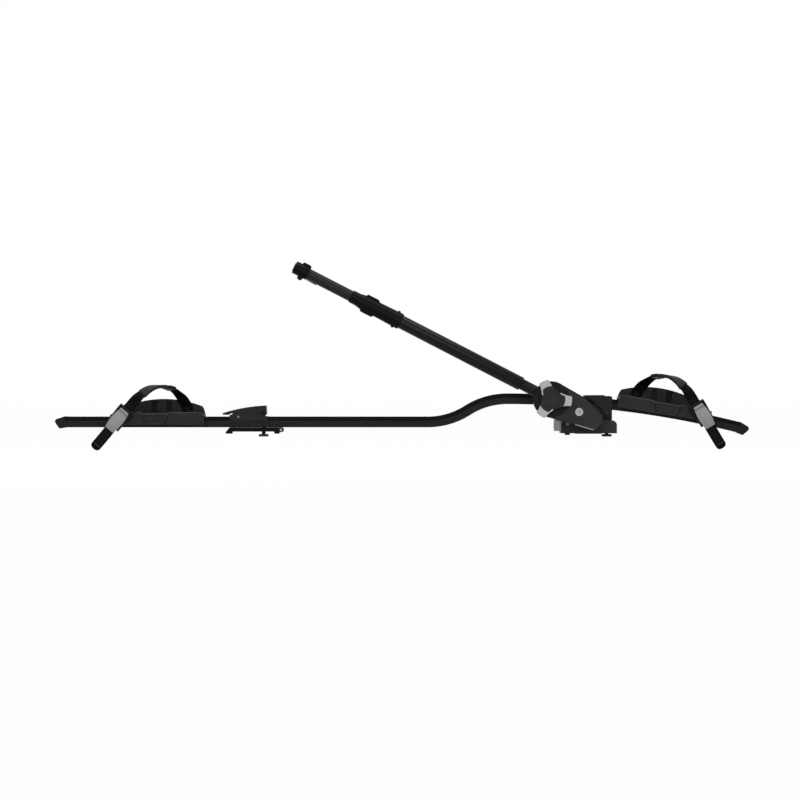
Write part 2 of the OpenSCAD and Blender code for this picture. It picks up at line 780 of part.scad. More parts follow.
// Two cheeks outside the saddle, joined over the rail by a wedge shaped grip
module front_lever() {
    tip_x = -48;
    top_x = -6;
    bridge_ahead = -17;
    cheek_r = lever_pin_d / 2 + 6.5;
    rise = crown_z(bolt_ahead) + rail_h / 2 - front_pin_z + 7;
    tip_low = crown_top(bolt_ahead + tip_x) + slide_gap - front_pin_z;
    bridge_low = crown_top(bolt_ahead + bridge_ahead) + slide_gap - front_pin_z;
    tip_t = 2.4;
    color(soft_black) translate([bolt_ahead, 0, front_pin_z]) difference() {
        union() {
            for (s = [-1, 1]) translate([0, s * (lever_cheek_in + lever_cheek_t / 2), 0])
                across(-lever_cheek_t / 2, lever_cheek_t / 2) {
                    circle(cheek_r);
                    polygon([
                        [cheek_r, 0], [cheek_r + 1, rise - 6], [cheek_r - 1, rise - 2],
                        [cheek_r - 4, rise - 1.5], [top_x + 1, rise - 1.5], [top_x - 1, rise + 0.5],
                        [tip_x, tip_low + tip_t],
                        [tip_x, tip_low - 2], [top_x - 22, tip_low - 12], [-cheek_r * 0.9, 4]
                    ]);
                }
            across(-lever_cheek_in - 1, lever_cheek_in + 1) polygon([
                [bridge_ahead, bridge_low], [bridge_ahead, rise - 1],
                [tip_x, tip_low + tip_t], [tip_x, tip_low]
            ]);
        }
        rod_y(lever_pin_d / 2 + run_fit, -2 * saddle_half, 2 * saddle_half);
    }
}

module foot_knob() {
    base_z = foot_lift + foot_floor + slide_gap;
    flutes = 18;
    groove = 1.2;
    r = knob_d / 2;
    color(light_grey) translate([knob_at.x, knob_at.y, base_z]) difference() {
        rotate_extrude() polygon([
            [knob_bolt_d / 2 + run_fit, 0], [r - 1.5, 0], [r, 1.5], [r, knob_h - 5],
            [r - groove, knob_h - 4.4], [r - groove, knob_h - 3.4], [r, knob_h - 2.8], [r, knob_h - 1.5],
            [r - 1.5, knob_h],
            [r - 8, knob_h], [r - 10, knob_h - 2], [knob_bolt_d / 2 + run_fit, knob_h - 2]
        ]);
        for (i = [0 : flutes - 1]) rotate([0, 0, i * 360 / flutes]) translate([r + 2.2, 0, 4])
            cylinder(r = 3, h = knob_h - 11);
    }
}

module knob_bolt() {
    base_z = foot_lift + foot_floor + slide_gap;
    head_r = knob_bolt_d / 2 + 1.5;
    color(dark_steel) translate([knob_at.x, knob_at.y, 0]) {
        translate([0, 0, -2]) cylinder(d = knob_bolt_d, h = base_z + knob_h + 4);
        translate([0, 0, -3]) cylinder(r = head_r, h = 3 + foot_lift - seat_gap);
        translate([0, 0, base_z + knob_h - 2 + slide_gap]) cylinder(r = head_r + 2, h = 4);
    }
}

// Rear foot, drawn with the draw bolt at X 0

rear_foot_top = rail_ride - slide_gap;
rear_bed_z = rail_ride + rail_h + 1;
rear_pin_z = rear_bed_z + eye_r + slide_gap;
rear_plate_h = 8.6;
rear_heel = -76;
rear_toe_x = 28;
rear_toe_r = 6.2;
rear_ring_x = 37;
rear_ring_r = 5;
hook_pin_r = 2.6;

module on_rear_foot() { translate([rear_bolt_x, 0, 0]) children(); }

module rear_foot() {
    plate_z = rear_foot_top - rear_plate_h;
    half = rear_foot_w / 2;
    color(black) on_rear_foot() difference() {
        union() {
            across(-half, half) polygon([
                [rear_heel + 5, rear_foot_top], [rear_ring_x, rear_foot_top], [rear_ring_x, plate_z],
                [rear_heel + 11, plate_z], [rear_heel + 10, pad_t], [rear_heel - 3, pad_t],
                [rear_heel - 2, plate_z]
            ]);
            translate([rear_toe_x, 0, rear_foot_top - rear_toe_r - 0.2]) rod_y(rear_toe_r, -half, half);
            translate([rear_ring_x, 0, rear_foot_top - rear_ring_r]) rod_y(rear_ring_r, -half, half);
        }
        translate([rear_toe_x - 2 * rear_toe_r, -half - 1, -2 * pad_t])
            cube([4 * rear_toe_r, rear_foot_w + 2, 3 * pad_t]);
        translate([rear_ring_x, 0, rear_foot_top - rear_ring_r])
            rod_y(hook_pin_r + seat_gap, -half - 1, half + 1);
        translate([0, 0, -1]) cylinder(d = draw_bolt_d + 2 * seat_gap, h = 2 * rail_ride);
        // gap in the round end for a strap round the bar
        translate([rear_ring_x - rear_ring_r, -rear_foot_w / 4, 0])
            cube([3 * rear_ring_r, rear_foot_w / 2, rail_ride]);
        // lightening pockets from below
        for (x = [-62, -38], s = [-1, 1]) translate([x, s * rear_foot_w / 4 - 8, 0])
            cube([18, 16, plate_z + rear_plate_h - 3]);
    }
}

module rear_foot_pads() {
    length = 13;
    color(soft_black) on_rear_foot() {
        translate([rear_heel - 3, -rear_foot_w / 2, 0]) cube([length, rear_foot_w, pad_t - seat_gap]);
        translate([rear_toe_x - 5, -rear_foot_w / 2, 0]) cube([10, rear_foot_w, pad_t - seat_gap]);
    }
}

module rear_hook_pin() {
    color(steel) on_rear_foot() translate([rear_ring_x, 0, rear_foot_top - rear_ring_r])
        rod_y(hook_pin_r, -rear_foot_w / 2 - 1, rear_foot_w / 2 + 1);
}

saddle_back = -rear_lever_length + 26;
saddle_ahead = eye_r + 2;
rear_cam_r = eye_r;
rear_core_half = rail_w / 2 - 4.5;
cheek_top_z = rear_pin_z - 1.8;
cheek_ahead = -13;
// A low sill goes on from each cheek to the cam
sill_ahead = -2;
sill_h = 3.3;

module rear_saddle() {
    skirt = rail_ride + rail_h - track_h + slide_gap;
    bed = rear_bed_z;
    color(black) on_rear_foot() difference() {
        union() {
            across(-rail_w / 2, rail_w / 2) polygon([
                [saddle_back, skirt], [saddle_back - 3, skirt + 3], [saddle_back - 3, bed],
                [saddle_ahead, bed], [saddle_ahead, skirt]
            ]);
            for (s = [-1, 1]) translate([0, s * (rail_w / 2 - 2), 0]) across(-2, 2) polygon([
                [saddle_back - 3, bed - 1], [saddle_back - 3, cheek_top_z - 4],
                [saddle_back + 6, cheek_top_z], [cheek_ahead, cheek_top_z],
                [cheek_ahead + 2, bed + sill_h], [sill_ahead, bed + sill_h],
                [sill_ahead, bed - 1]
            ]);
        }
        // the track passes underneath
        translate([saddle_back - 10, -track_w / 2 - slide_gap, 0])
            cube([saddle_ahead - saddle_back + 20, track_w + 2 * slide_gap, rail_ride + rail_h + slide_gap]);
        cylinder(d = draw_bolt_d + 2 * seat_gap, h = 2 * rear_pin_z);
    }
}

module rear_t_bolt() { color(dark_steel) on_rear_foot() draw_bolt(rear_pin_z); }

module rear_lever_pin() {
    color(dark_steel) on_rear_foot() translate([0, 0, rear_pin_z])
        rod_y(lever_pin_d / 2, -rear_core_half, rear_core_half);
}

// A wedge with a broad cap; its core drops between the saddle's cheeks and ends in a round cam
module rear_lever() {
    tip = saddle_ahead - rear_lever_length;
    low = -eye_r + 1;
    cap_low = -1.4;
    nose_r = 14.5;
    cap_arch_r = 330;
    color(soft_black) on_rear_foot() translate([0, 0, rear_pin_z]) difference() {
        union() {
            // core and cam
            across(-rear_core_half, rear_core_half) {
                circle(rear_cam_r);
                polygon([[tip + 20, low], [0, low], [0, 8], [tip + 20, 4]]);
            }
            // broad cap with a long soft crown, thin at its tip
            across(-rail_w / 2, rail_w / 2) intersection() {
                translate([17, nose_r + 0.5 - cap_arch_r]) circle(cap_arch_r, $fn = 180);
                polygon([
                    [tip, cap_low - 3.4], [tip + 12, cap_low - 3.4], [tip + 17, cap_low], [0, cap_low],
                    [rear_cam_r - 0.5, cap_low + 1], [rear_cam_r - 0.5, 8], [4, 2 * nose_r], [tip, 2 * nose_r]
                ]);
            }
        }
        rod_y(lever_pin_d / 2 + run_fit, -rail_w, rail_w);
        // room for the draw bolt's eye and shank as the lever lifts
        rod_y(eye_r + slide_gap, -eye_w / 2 - slide_gap, eye_w / 2 + slide_gap);
        translate([-draw_bolt_d / 2 - slide_gap, -eye_w / 2 - slide_gap, -3 * eye_r])
            cube([3 * eye_r, eye_w + 2 * slide_gap, 3 * eye_r + draw_bolt_d / 2 + slide_gap]);
        // hollow underneath
        for (s = [-1, 1]) translate([tip + 26, s * rear_core_half / 2 - 5, -20]) cube([36, 10, 21]);
    }
}

// Frame holder, drawn along +X from its hinge, with +Y towards the near side

module on_arm() {
    translate([hinge_x, 0, hinge_h]) rotate([0, arm_angle, 0]) rotate([0, 0, 180]) children();
}

shell_front = arm_offset + housing_t / 2;
shaft_r = shaft_d / 2;
bush_t = 1.2;
bush_r = hinge_d / 2 + run_fit + bush_t;
bush_length = 10;
boss_wall = 3;
dial_bush_r = shaft_r + run_fit + 3;
neck_x = dial_reach + housing_r;
tube_x = neck_x + neck_length;
tube_top = tube_x + tube_length;
tube_in_r = tube_d / 2 - tube_wall;
collar_x = tube_top + 28 - collar_length;
collar_top = collar_x + collar_length;
slide_top = collar_top + slide_out;
slide_low = slide_top - slide_length;
flange_x = dial_reach + housing_r - 12;
screw_r = screw_d / 2;
bearing_r = screw_r + run_fit + 4;
lock_at = [lock_reach, 3];
head_screw = [dial_reach - 10, 26];
end_screw = [lock_reach - 3, -13];
screw_spots = [head_screw, [head_screw.x, -head_screw.y], end_screw];
cover_screw_r = 1.75;
cover_screw_head_r = 3.4;
screw_boss_r = 4.5;

// A round head under the dial, two straight flanks and a blunt end behind the hinge
end_high = housing_end_r - end_corner_r;
end_low = 0.6 * housing_end_r;
end_back = 0.45 * housing_end_r;
end_bulge = 4.5;

module housing_outline(inset = 0) {
    corner = end_corner_r - inset;
    belt(
        [
            [dial_reach, 0, housing_r - inset], [-end_back, end_high, corner],
            [-end_back - end_bulge, end_high / 4, corner], [-end_back, -end_low, corner]
        ],
        [56, 8, 4, 8]
    );
}

// The neck of the arm passes through both shells
module neck_bore() {
    translate([0, arm_offset, 0]) rod_x(neck_d / 2 + seat_gap, dial_reach, neck_x + 10);
}

module arm_housing() {
    color(black) on_arm() difference() {
        union() {
            difference() {
                across(shell_back, arm_offset) housing_outline();
                across(shell_back + housing_wall, arm_offset + 1) housing_outline(housing_wall);
            }
            rod_y(bush_r + boss_wall, shell_back, shell_back + bush_length);
            for (p = screw_spots) translate([p.x, 0, p.y])
                rod_y(screw_boss_r, shell_back, arm_offset - seat_gap);
        }
        rod_y(bush_r + seat_gap, shell_back - 1, shell_back + bush_length + 1);
        neck_bore();
        for (p = screw_spots) translate([p.x, 0, p.y]) {
            rod_y(cover_screw_r + run_fit, shell_back - 1, arm_offset + 1);
            rod_y(cover_screw_head_r + seat_gap, shell_back - 1, shell_back + 3);
        }
    }
}

module housing_cover() {
    rim = 1.5;
    color(warm_grey) on_arm() difference() {
        union() {
            difference() {
                union() {
                    across(arm_offset + seat_gap, shell_front - rim) housing_outline();
                    across(shell_front - rim - 0.1, shell_front) housing_outline(rim);
                }
                across(arm_offset - 1, shell_front - housing_wall) housing_outline(housing_wall);
            }
            rod_y(bush_r + boss_wall, shell_front - bush_length - housing_wall, shell_front - 1);
            for (p = screw_spots) translate([p.x, 0, p.y])
                rod_y(screw_boss_r, arm_offset + seat_gap, shell_front - 1);
            translate([lock_at.x, 0, lock_at.y]) rod_y(lock_d / 2 + 2.5, shell_front - 14, shell_front - 1);
            translate([dial_reach, 0, 0]) rod_y(dial_bush_r + 3, shell_front - 6, shell_front - 1);
        }
        rod_y(bush_r + seat_gap, shell_front - bush_length - housing_wall - 1, shell_front - housing_wall);
        neck_bore();
        for (p = screw_spots) translate([p.x, 0, p.y])
            rod_y(cover_screw_r + seat_gap, arm_offset - 1, shell_front - 6);
        translate([lock_at.x, 0, lock_at.y]) rod_y(lock_d / 2 + seat_gap, shell_front - 15, shell_front + 1);
        translate([dial_reach, 0, 0]) rod_y(dial_bush_r + seat_gap, shell_front - 10, shell_front + 1);
    }
}

module cover_screws() {
    color(steel) on_arm() for (p = screw_spots) translate([p.x, 0, p.y]) {
        rod_y(cover_screw_r, shell_back + 2.9, shell_front - 8);
        rod_y(cover_screw_head_r, shell_back + 0.6, shell_back + 3 - seat_gap);
    }
}

module hinge_pin() {
    r = hinge_d / 2;
    inner = -foot_near - near_wall_t + 3.5;
    color(steel) on_arm() rod_y(r, inner, shell_front - housing_wall - 1);
}

module hinge_bushes() {
    color(light_grey) on_arm() for (y = [shell_back, shell_front - bush_length - housing_wall])
        difference() {
            rod_y(bush_r, y, y + bush_length - 1);
            rod_y(hinge_d / 2 + run_fit, y - 1, y + bush_length);
        }
}

module tube_neck() {
    plug = 32;
    color(black) on_arm() translate([0, arm_offset, 0]) difference() {
        union() {
            rod_x(neck_d / 2 + 3, flange_x, flange_x + 4);
            rod_x(neck_d / 2, flange_x, tube_x);
            rod_x(tube_in_r - seat_gap, tube_x - 0.1, tube_x + plug);
        }
        rod_x(screw_r + 1, flange_x - 1, tube_x + plug + 1);
        rod_x(bearing_r + seat_gap, flange_x - 1, flange_x + 10);
    }
}

module arm_tube() {
    color(black) on_arm() translate([0, arm_offset, 0]) difference() {
        rod_x(tube_d / 2, tube_x, tube_top);
        rod_x(tube_in_r, tube_x - 1, tube_top + 1);
    }
}

// Collar of the lower jaw: a revolved sleeve, cut by a slanting plane into a clamp and a jaw
collar_low_r = tube_d / 2 + 1.8;
collar_top_r = slide_d / 2 + 2;
collar_cut_x = collar_x + collar_length * 0.36;
collar_cut_tilt = 30;

module collar_form() {
    translate([0, arm_offset, 0]) rotate([0, 90, 0]) rotate_extrude() polygon([
        [0, collar_x], [collar_low_r + 0.6, collar_x], [collar_low_r + 1, collar_x + 4],
        [collar_low_r, collar_x + 46], [collar_low_r - 0.4, tube_top + 2], [collar_top_r, tube_top + 12],
        [collar_top_r, collar_top], [0, collar_top]
    ]);
}

// The collar sits on the lower tube and lets the upper tube slide
module collar_bore() {
    translate([0, arm_offset, 0]) {
        rod_x(tube_d / 2 + seat_gap, collar_x - 1, tube_top + seat_gap);
        rod_x(slide_d / 2 + slide_gap, tube_top - 1, collar_top + 60);
    }
}

// Everything on the housing's side of the slanting parting
module collar_side(gap) {
    size = 3 * collar_length;
    translate([collar_cut_x + gap, arm_offset, 0]) rotate([0, -collar_cut_tilt, 0])
        translate([-size, -size / 2, -size / 2]) cube(size);
}

module jaw_collar() {
    lug_x = collar_x + 12;
    color(soft_black) on_arm() difference() {
        union() {
            intersection() {
                collar_form();
                collar_side(0);
            }
            for (s = [-1, 1]) translate([lug_x, arm_offset, s * collar_low_r]) rod_y(3.4, -5, 5);
        }
        collar_bore();
        for (s = [-1, 1]) translate([lug_x, arm_offset, s * (collar_low_r + 0.4)]) rod_y(1.5, -6, 6);
    }
}

jaw_root_x = collar_x + 57;
jaw_root_length = 31;
jaw_floor = jaw_root_x + jaw_root_length + 2;
jaw_root_h = 39;
pad_half = jaw_reach - 10;

// Seen along Z: a finger from the tube past the rail, hollowed towards +X
module jaw_finger(back, floor_x, root) {
    tip = -jaw_reach;
    difference() {
        polygon([
            [back, root], [back, root - 40], [back + 6, root - 70], [floor_x - 12, tip + 8],
            [floor_x - 6, tip], [floor_x + 18, tip], [floor_x + 24, tip + 6],
            [floor_x + 40, 40], [floor_x + 24, root - 16], [floor_x - 2, root]
        ]);
        translate([floor_x + jaw_r, 0]) circle(jaw_r, $fn = 128);
        translate([floor_x + 26, tip - 1]) square([40, root - 12 - tip]);
    }
}

// Lining of a jaw's hollow, with ribs across it
module jaw_lining(floor_x) {
    ribs = 5;
    rib_r = 1.6;
    inner = jaw_r - jaw_pad_t;
    difference() {
        intersection() {
            translate([floor_x + jaw_r, 0]) circle(jaw_r - seat_gap, $fn = 128);
            translate([floor_x - 1, -pad_half]) square([60, 2 * pad_half]);
        }
        translate([floor_x + jaw_r, 0]) circle(inner, $fn = 128);
        translate([floor_x + 26, -2 * pad_half]) square([100, 4 * pad_half]);
        for (i = [0 : ribs - 1]) rotate_about([floor_x + jaw_r, 0], 180 + (i - (ribs - 1) / 2) * 10)
            translate([inner, 0]) circle(rib_r, $fn = 24);
    }
}

module rotate_about(centre, turn) {
    translate(centre) rotate(turn) children();
}

module lower_jaw() {
    root = arm_offset - tube_d / 2;
    color(tube_grey) on_arm() difference() {
        union() {
            difference() {
                collar_form();
                collar_side(0.3);
            }
            translate([0, 0, -jaw_h / 2]) linear_extrude(jaw_h) jaw_finger(jaw_root_x, jaw_floor, root + 6);
            // broad root round the tube
            across(root - 10, arm_offset + 6) translate([jaw_root_x + jaw_root_length / 2, 0])
                rounded(jaw_root_length, jaw_root_h, 5);
        }
        collar_bore();
    }
}

module lower_jaw_pad() {
    color(soft_black) on_arm() translate([0, 0, -jaw_h / 2]) linear_extrude(jaw_h) jaw_lining(jaw_floor);
}

module slide_bush() {
    length = 30;
    color(light_grey) on_arm() translate([0, arm_offset, 0]) difference() {
        rod_x(tube_in_r - seat_gap, tube_top - length, tube_top);
        rod_x(slide_d / 2 + run_fit, tube_top - length - 1, tube_top + 1);
    }
}

module upper_tube() {
    color(tube_grey) on_arm() translate([0, arm_offset, 0]) difference() {
        rod_x(slide_d / 2, slide_low, slide_top);
        rod_x(slide_d / 2 - slide_wall, slide_low - 1, slide_top + 1);
    }
}

upper_root_length = 19;
upper_root_x = slide_top - 4 - upper_root_length;
upper_ring_r = slide_d / 2 + 2;
jaw_bolt_r = 2.5;
jaw_boss_z = -slide_d / 2 - jaw_bolt_r - slide_gap;

module upper_jaw() {
    root = arm_offset - slide_d / 2;
    floor_x = upper_root_x - 1;
    color(tube_grey) on_arm() difference() {
        union() {
            translate([0, arm_offset, 0]) rod_x(upper_ring_r, upper_root_x, slide_top + 8);
            translate([floor_x, 0, -jaw_h / 2]) linear_extrude(jaw_h) mirror([1, 0])
                jaw_finger(-upper_root_length - 1, 0, root + 6);
            across(root - 10, arm_offset + 4) translate([upper_root_x + upper_root_length / 2, jaw_h * 0.2])
                rounded(upper_root_length, jaw_root_h - 12, 4);
            translate([upper_root_x + upper_root_length / 2 + 2, 0, jaw_boss_z])
                rod_y(jaw_bolt_r + 3, root - 6, arm_offset + 12);
        }
        translate([0, arm_offset, 0]) rod_x(slide_d / 2 + seat_gap, upper_root_x - 60, slide_top + 9);
        translate([upper_root_x + upper_root_length / 2 + 2, 0, jaw_boss_z])
            rod_y(jaw_bolt_r + seat_gap, root - 7, arm_offset + 13);
    }
}

module upper_jaw_pad() {
    color(soft_black) on_arm() translate([upper_root_x - 1, 0, -jaw_h / 2]) linear_extrude(jaw_h)
        mirror([1, 0]) jaw_lining(0);
}

module jaw_bolt() {
    root = arm_offset - slide_d / 2;
    color(dark_steel) on_arm() translate([upper_root_x + upper_root_length / 2 + 2, 0, jaw_boss_z])
        rod_y(jaw_bolt_r, root - 5, arm_offset + 10);
}

module tube_cap() {
    plug = 14;
    color(black) on_arm() translate([0, arm_offset, 0]) {
        rod_x(slide_d / 2 - slide_wall - seat_gap, slide_top - plug, slide_top + 1);
        rod_x(slide_d / 2 - seat_gap, slide_top + seat_gap, slide_top + 8);
        translate([slide_top + 8 - 0.1, 0, 0]) rotate([0, 90, 0])
            cylinder(r1 = slide_d / 2 - seat_gap, r2 = slide_d / 2 - 3, h = 2);
    }
}

module screw_nut() {
    length = 26;
    flange = 5;
    color(light_grey) on_arm() translate([0, arm_offset, 0]) difference() {
        union() {
            rod_x(slide_d / 2 - slide_wall - seat_gap, slide_low - 1, slide_low + length);
            rod_x(tube_in_r - slide_gap, slide_low - flange, slide_low - seat_gap);
        }
        rod_x(screw_r + run_fit, slide_low - flange - 1, slide_low + length + 1);
    }
}

// Mitre gears, drawn with the apex of the pitch cone at the origin and the axis along +Z
tooth_rise = 1.7 * gear_r / 12;
tooth_root = 2 * gear_r / 12;
gear_face = 1 / 3;
gear_hub_h = gear_r * 0.2;

// One straight tooth: eight corners, all on lines through the apex
module gear_tooth() {
    pitch_t = 2 * PI * gear_r / gear_teeth;
    tip_half = 0.12 * pitch_t;
    root_half = 0.29 * pitch_t;
    deep = tooth_root + 0.5;
    outer = [
        [gear_r + tooth_rise / sqrt(2), tip_half, gear_r - tooth_rise / sqrt(2)],
        [gear_r + tooth_rise / sqrt(2), -tip_half, gear_r - tooth_rise / sqrt(2)],
        [gear_r - deep / sqrt(2), -root_half, gear_r + deep / sqrt(2)],
        [gear_r - deep / sqrt(2), root_half, gear_r + deep / sqrt(2)]
    ];
    inner = [for (p = outer) p * (1 - gear_face)];
    polyhedron(
        points = concat(outer, inner),
        faces = [
            [0, 1, 2, 3], [7, 6, 5, 4], [4, 5, 1, 0], [5, 6, 2, 1], [6, 7, 3, 2], [7, 4, 0, 3]
        ]
    );
}

module mitre_gear(bore_r, turn) {
    root_r = gear_r - tooth_root / sqrt(2);
    root_z = gear_r + tooth_root / sqrt(2);
    inner = 1 - gear_face;
    hub_r = gear_r * 0.78;
    difference() {
        union() {
            rotate_extrude() polygon([
                [0, root_z * inner], [root_r * inner, root_z * inner], [root_r, root_z], [root_r, root_z + 1],
                [hub_r, root_z + 1], [hub_r, root_z + gear_hub_h], [0, root_z + gear_hub_h]
            ]);
            for (i = [0 : gear_teeth - 1]) rotate([0, 0, turn + i * 360 / gear_teeth]) gear_tooth();
        }
        cylinder(r = bore_r, h = 4 * gear_r);
    }
}

module drive_gear() {
    color(steel) on_arm() translate([dial_reach, arm_offset, 0]) rotate([-90, 0, 0])
        mitre_gear(shaft_r - 1 + seat_gap, 0);
}

module screw_gear() {
    color(steel) on_arm() translate([dial_reach, arm_offset, 0]) rotate([0, 90, 0])
        mitre_gear(screw_r - 1 + seat_gap, 90 + 180 / gear_teeth);
}

gear_back = gear_r + tooth_root / sqrt(2) + gear_hub_h;

module lead_screw() {
    front = slide_low + jaw_travel + 40;
    color(steel) on_arm() translate([0, arm_offset, 0]) {
        rod_x(screw_r - 1, dial_reach + gear_r - 2, dial_reach + gear_back + 1);
        rod_x(screw_r, dial_reach + gear_back + seat_gap, front);
    }
}

module screw_bearing() {
    color(light_grey) on_arm() translate([0, arm_offset, 0]) difference() {
        rod_x(bearing_r, flange_x, flange_x + 10 - seat_gap);
        rod_x(screw_r + run_fit, flange_x - 1, flange_x + 11);
    }
}

// Dial, turned about its own axis

module on_dial() {
    on_arm() translate([dial_reach, 0, 0]) children();
}

dial_back = shell_front + slide_gap;
dial_front = dial_back + dial_h;
dial_base_h = 6;

scoop_r = 60;
scoop_at = scoop_r + 21;
grip_depth = 14;
wing_t = 2.6;
wing_from = 7;

// Three arms with shallow scoops between them
module dial_star() {
    difference() {
        circle(d = grip_d);
        for (i = [0 : 2]) rotate(grip_turn + 60 + i * 120) translate([scoop_at, 0]) circle(scoop_r);
    }
}

// Room for the dark middle; what is left of each arm is a grip, with a thin wing along one side
module dial_middle(clear) {
    difference() {
        circle(grip_d / 2 - grip_depth + clear);
        for (i = [0 : 2]) rotate(grip_turn - 60 + i * 120) intersection() {
            translate([scoop_at, 0]) circle(scoop_r + wing_t - clear);
            translate([0, wing_from + clear]) square(grip_d);
        }
    }
}

module dial() {
    groove_r = 18;
    groove_t = 1.4;
    color(warm_grey) on_dial() difference() {
        union() {
            across(dial_back, dial_back + dial_base_h) circle(d = dial_d);
            across(dial_back + dial_base_h - 0.1, dial_front) intersection() {
                dial_star();
                dial_middle(0);
            }
        }
        rod_y(shaft_r + seat_gap, dial_back - 1, dial_front - 6);
        rod_y(clutch_r + 0.5, dial_back - 1, dial_back + 3);
        // ring groove in the face
        difference() {
            rod_y(groove_r, dial_front - groove_t, dial_front + 1);
            rod_y(groove_r - groove_t, dial_front - 2, dial_front + 2);
        }
    }
}

module dial_grips() {
    color(light_grey) on_dial() across(dial_back + dial_base_h + seat_gap, dial_front + 0.6) difference() {
        dial_star();
        dial_middle(seat_gap);
    }
}

module dial_shaft() {
    gear_end = arm_offset + gear_r - 3;
    gear_top = arm_offset + gear_back;
    color(steel) on_dial() {
        rod_y(shaft_r - 1, gear_end, gear_top + 1);
        rod_y(shaft_r, gear_top + seat_gap, dial_front - 6 - seat_gap);
    }
}

module dial_bush() {
    color(light_grey) on_dial() difference() {
        rod_y(dial_bush_r, shell_front - 6, shell_front);
        rod_y(shaft_r + run_fit, shell_front - 7, shell_front + 1);
    }
}

clutch_r = 15;

module clutch_spring() {
    color(steel) on_dial() difference() {
        rod_y(clutch_r, dial_back + 0.2, dial_back + 2.8);
        rod_y(shaft_r + 1.5, dial_back - 1, dial_back + 4);
    }
}

module lock_barrel() {
    color(light_grey) on_arm() translate([lock_at.x, 0, lock_at.y]) difference() {
        rod_y(lock_d / 2, shell_front - 14, shell_front + 0.6);
        rod_y(lock_d / 2 - 2, shell_front - 15, shell_front + 2);
    }
}

module lock_core() {
    key_w = 1.4;
    key_h = 6;
    core_r = lock_d / 2 - 2 - run_fit;
    color(light_grey) on_arm() translate([lock_at.x, 0, lock_at.y]) difference() {
        rod_y(core_r, shell_front - 16, shell_front + 0.4);
        translate([-key_w / 2, shell_front - 6, -key_h / 2]) cube([key_w, 8, key_h]);
    }
}

rail();
rear_end_cap();
front_end_cap();
rear_tray();
rear_strap();
rear_strap_pad();
rear_strap_pin();
rear_buckle_base();
rear_buckle_lever();
rear_buckle_pin();
front_tray();
front_strap();
front_strap_pad();
front_strap_pin();
front_buckle_base();
front_buckle_lever();
front_buckle_pin();
front_foot();
front_foot_pad();
front_saddle();
front_lever();
front_lever_pin();
front_t_bolt();
foot_knob();
knob_bolt();
rear_foot();
rear_foot_pads();
rear_saddle();
rear_lever();
rear_lever_pin();
rear_t_bolt();
rear_hook_pin();
arm_housing();
housing_cover();
cover_screws();
hinge_pin();
hinge_bushes();
arm_tube();
tube_neck();
jaw_collar();
lower_jaw();
lower_jaw_pad();
slide_bush();
upper_tube();
upper_jaw();
upper_jaw_pad();
tube_cap();
jaw_bolt();
screw_nut();
lead_screw();
screw_gear();
screw_bearing();
dial();
dial_grips();
dial_shaft();
dial_bush();
clutch_spring();
drive_gear();
lock_barrel();
lock_core();
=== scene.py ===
"""Looks of a roof mounted bike carrier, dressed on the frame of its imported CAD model.

Lengths are in metres. X runs forward along the rail, Y across it, and Z is up.
"""
import json
import math

import bpy
import numpy as np
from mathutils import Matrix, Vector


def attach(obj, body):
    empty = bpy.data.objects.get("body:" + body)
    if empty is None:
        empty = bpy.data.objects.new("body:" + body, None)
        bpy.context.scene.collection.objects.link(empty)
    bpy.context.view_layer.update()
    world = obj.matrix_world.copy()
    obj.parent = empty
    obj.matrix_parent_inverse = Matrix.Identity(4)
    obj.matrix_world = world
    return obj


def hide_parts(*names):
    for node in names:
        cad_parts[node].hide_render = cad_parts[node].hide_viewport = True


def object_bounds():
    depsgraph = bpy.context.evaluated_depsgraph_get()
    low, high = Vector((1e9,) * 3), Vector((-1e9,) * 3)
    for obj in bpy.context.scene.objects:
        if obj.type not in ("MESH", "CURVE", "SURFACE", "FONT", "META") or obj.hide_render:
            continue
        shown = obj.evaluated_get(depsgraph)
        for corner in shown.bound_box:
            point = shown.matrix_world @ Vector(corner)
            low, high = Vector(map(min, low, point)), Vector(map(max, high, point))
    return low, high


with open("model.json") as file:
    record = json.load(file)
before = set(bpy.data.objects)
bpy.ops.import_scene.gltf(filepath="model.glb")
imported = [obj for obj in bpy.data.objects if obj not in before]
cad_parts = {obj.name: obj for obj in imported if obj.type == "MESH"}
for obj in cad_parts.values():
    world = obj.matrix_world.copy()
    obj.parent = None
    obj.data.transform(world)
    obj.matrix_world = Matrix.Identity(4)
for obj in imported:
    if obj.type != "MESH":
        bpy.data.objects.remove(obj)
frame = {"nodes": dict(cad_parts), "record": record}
cad_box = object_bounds()
nodes = frame["nodes"]

MM = 0.001

# Places of the two wheel trays on the rail, as in the CAD model
LOW_RAIL_TOP = 35.9 * MM
REAR_TRAY_X = -892.5 * MM
CROWN_X = -170 * MM
CROWN_R = 2000 * MM
CROWN_TOP_Z = 73.199 * MM
HALF_RAIL = 11.25 * MM
FRONT_TRAY_ALONG = 319 * MM

# Strap route over the wheel, in a tray's own frame: from the far wall, over the top, to the tail
STRAP_ROUTE = MM * np.array([
    (51, 36.6, 12), (46, 36.1, 26), (34, 30.6, 43), (19, 18, 57), (2, 2, 62.5), (-18, -17, 61.5),
    (-34, -33, 53.5), (-50.3, -45, 39.5), (-67.3, -50, 19.5), (-91.8, -51, -6.6), (-116.8, -51, -37.5),
    (-141.8, -51, -67),
])
STRAP_W = 22 * MM
STRAP_T = 3 * MM
STRAP_CORNER = 1.1 * MM
STRAP_TURN_Y = -8 * MM
STRAP_TURN_Z = 28 * MM
STRAP_TURN_H = 4.2 * MM
STRAP_TURN_NEAR_Z = 21 * MM
STRAP_TURN_NEAR_H = 15 * MM
STRAP_TURN_W = 20 * MM
STRAP_STEP = 0.5 * MM
TOOTH_PITCH = 4.4 * MM
TOOTH_H = 1.3 * MM
TOOTH_HALF_W = 8.6 * MM
TOOTHED_LENGTH = 122 * MM
TIP_LENGTH = 10 * MM
TIP_POWER = 2.5
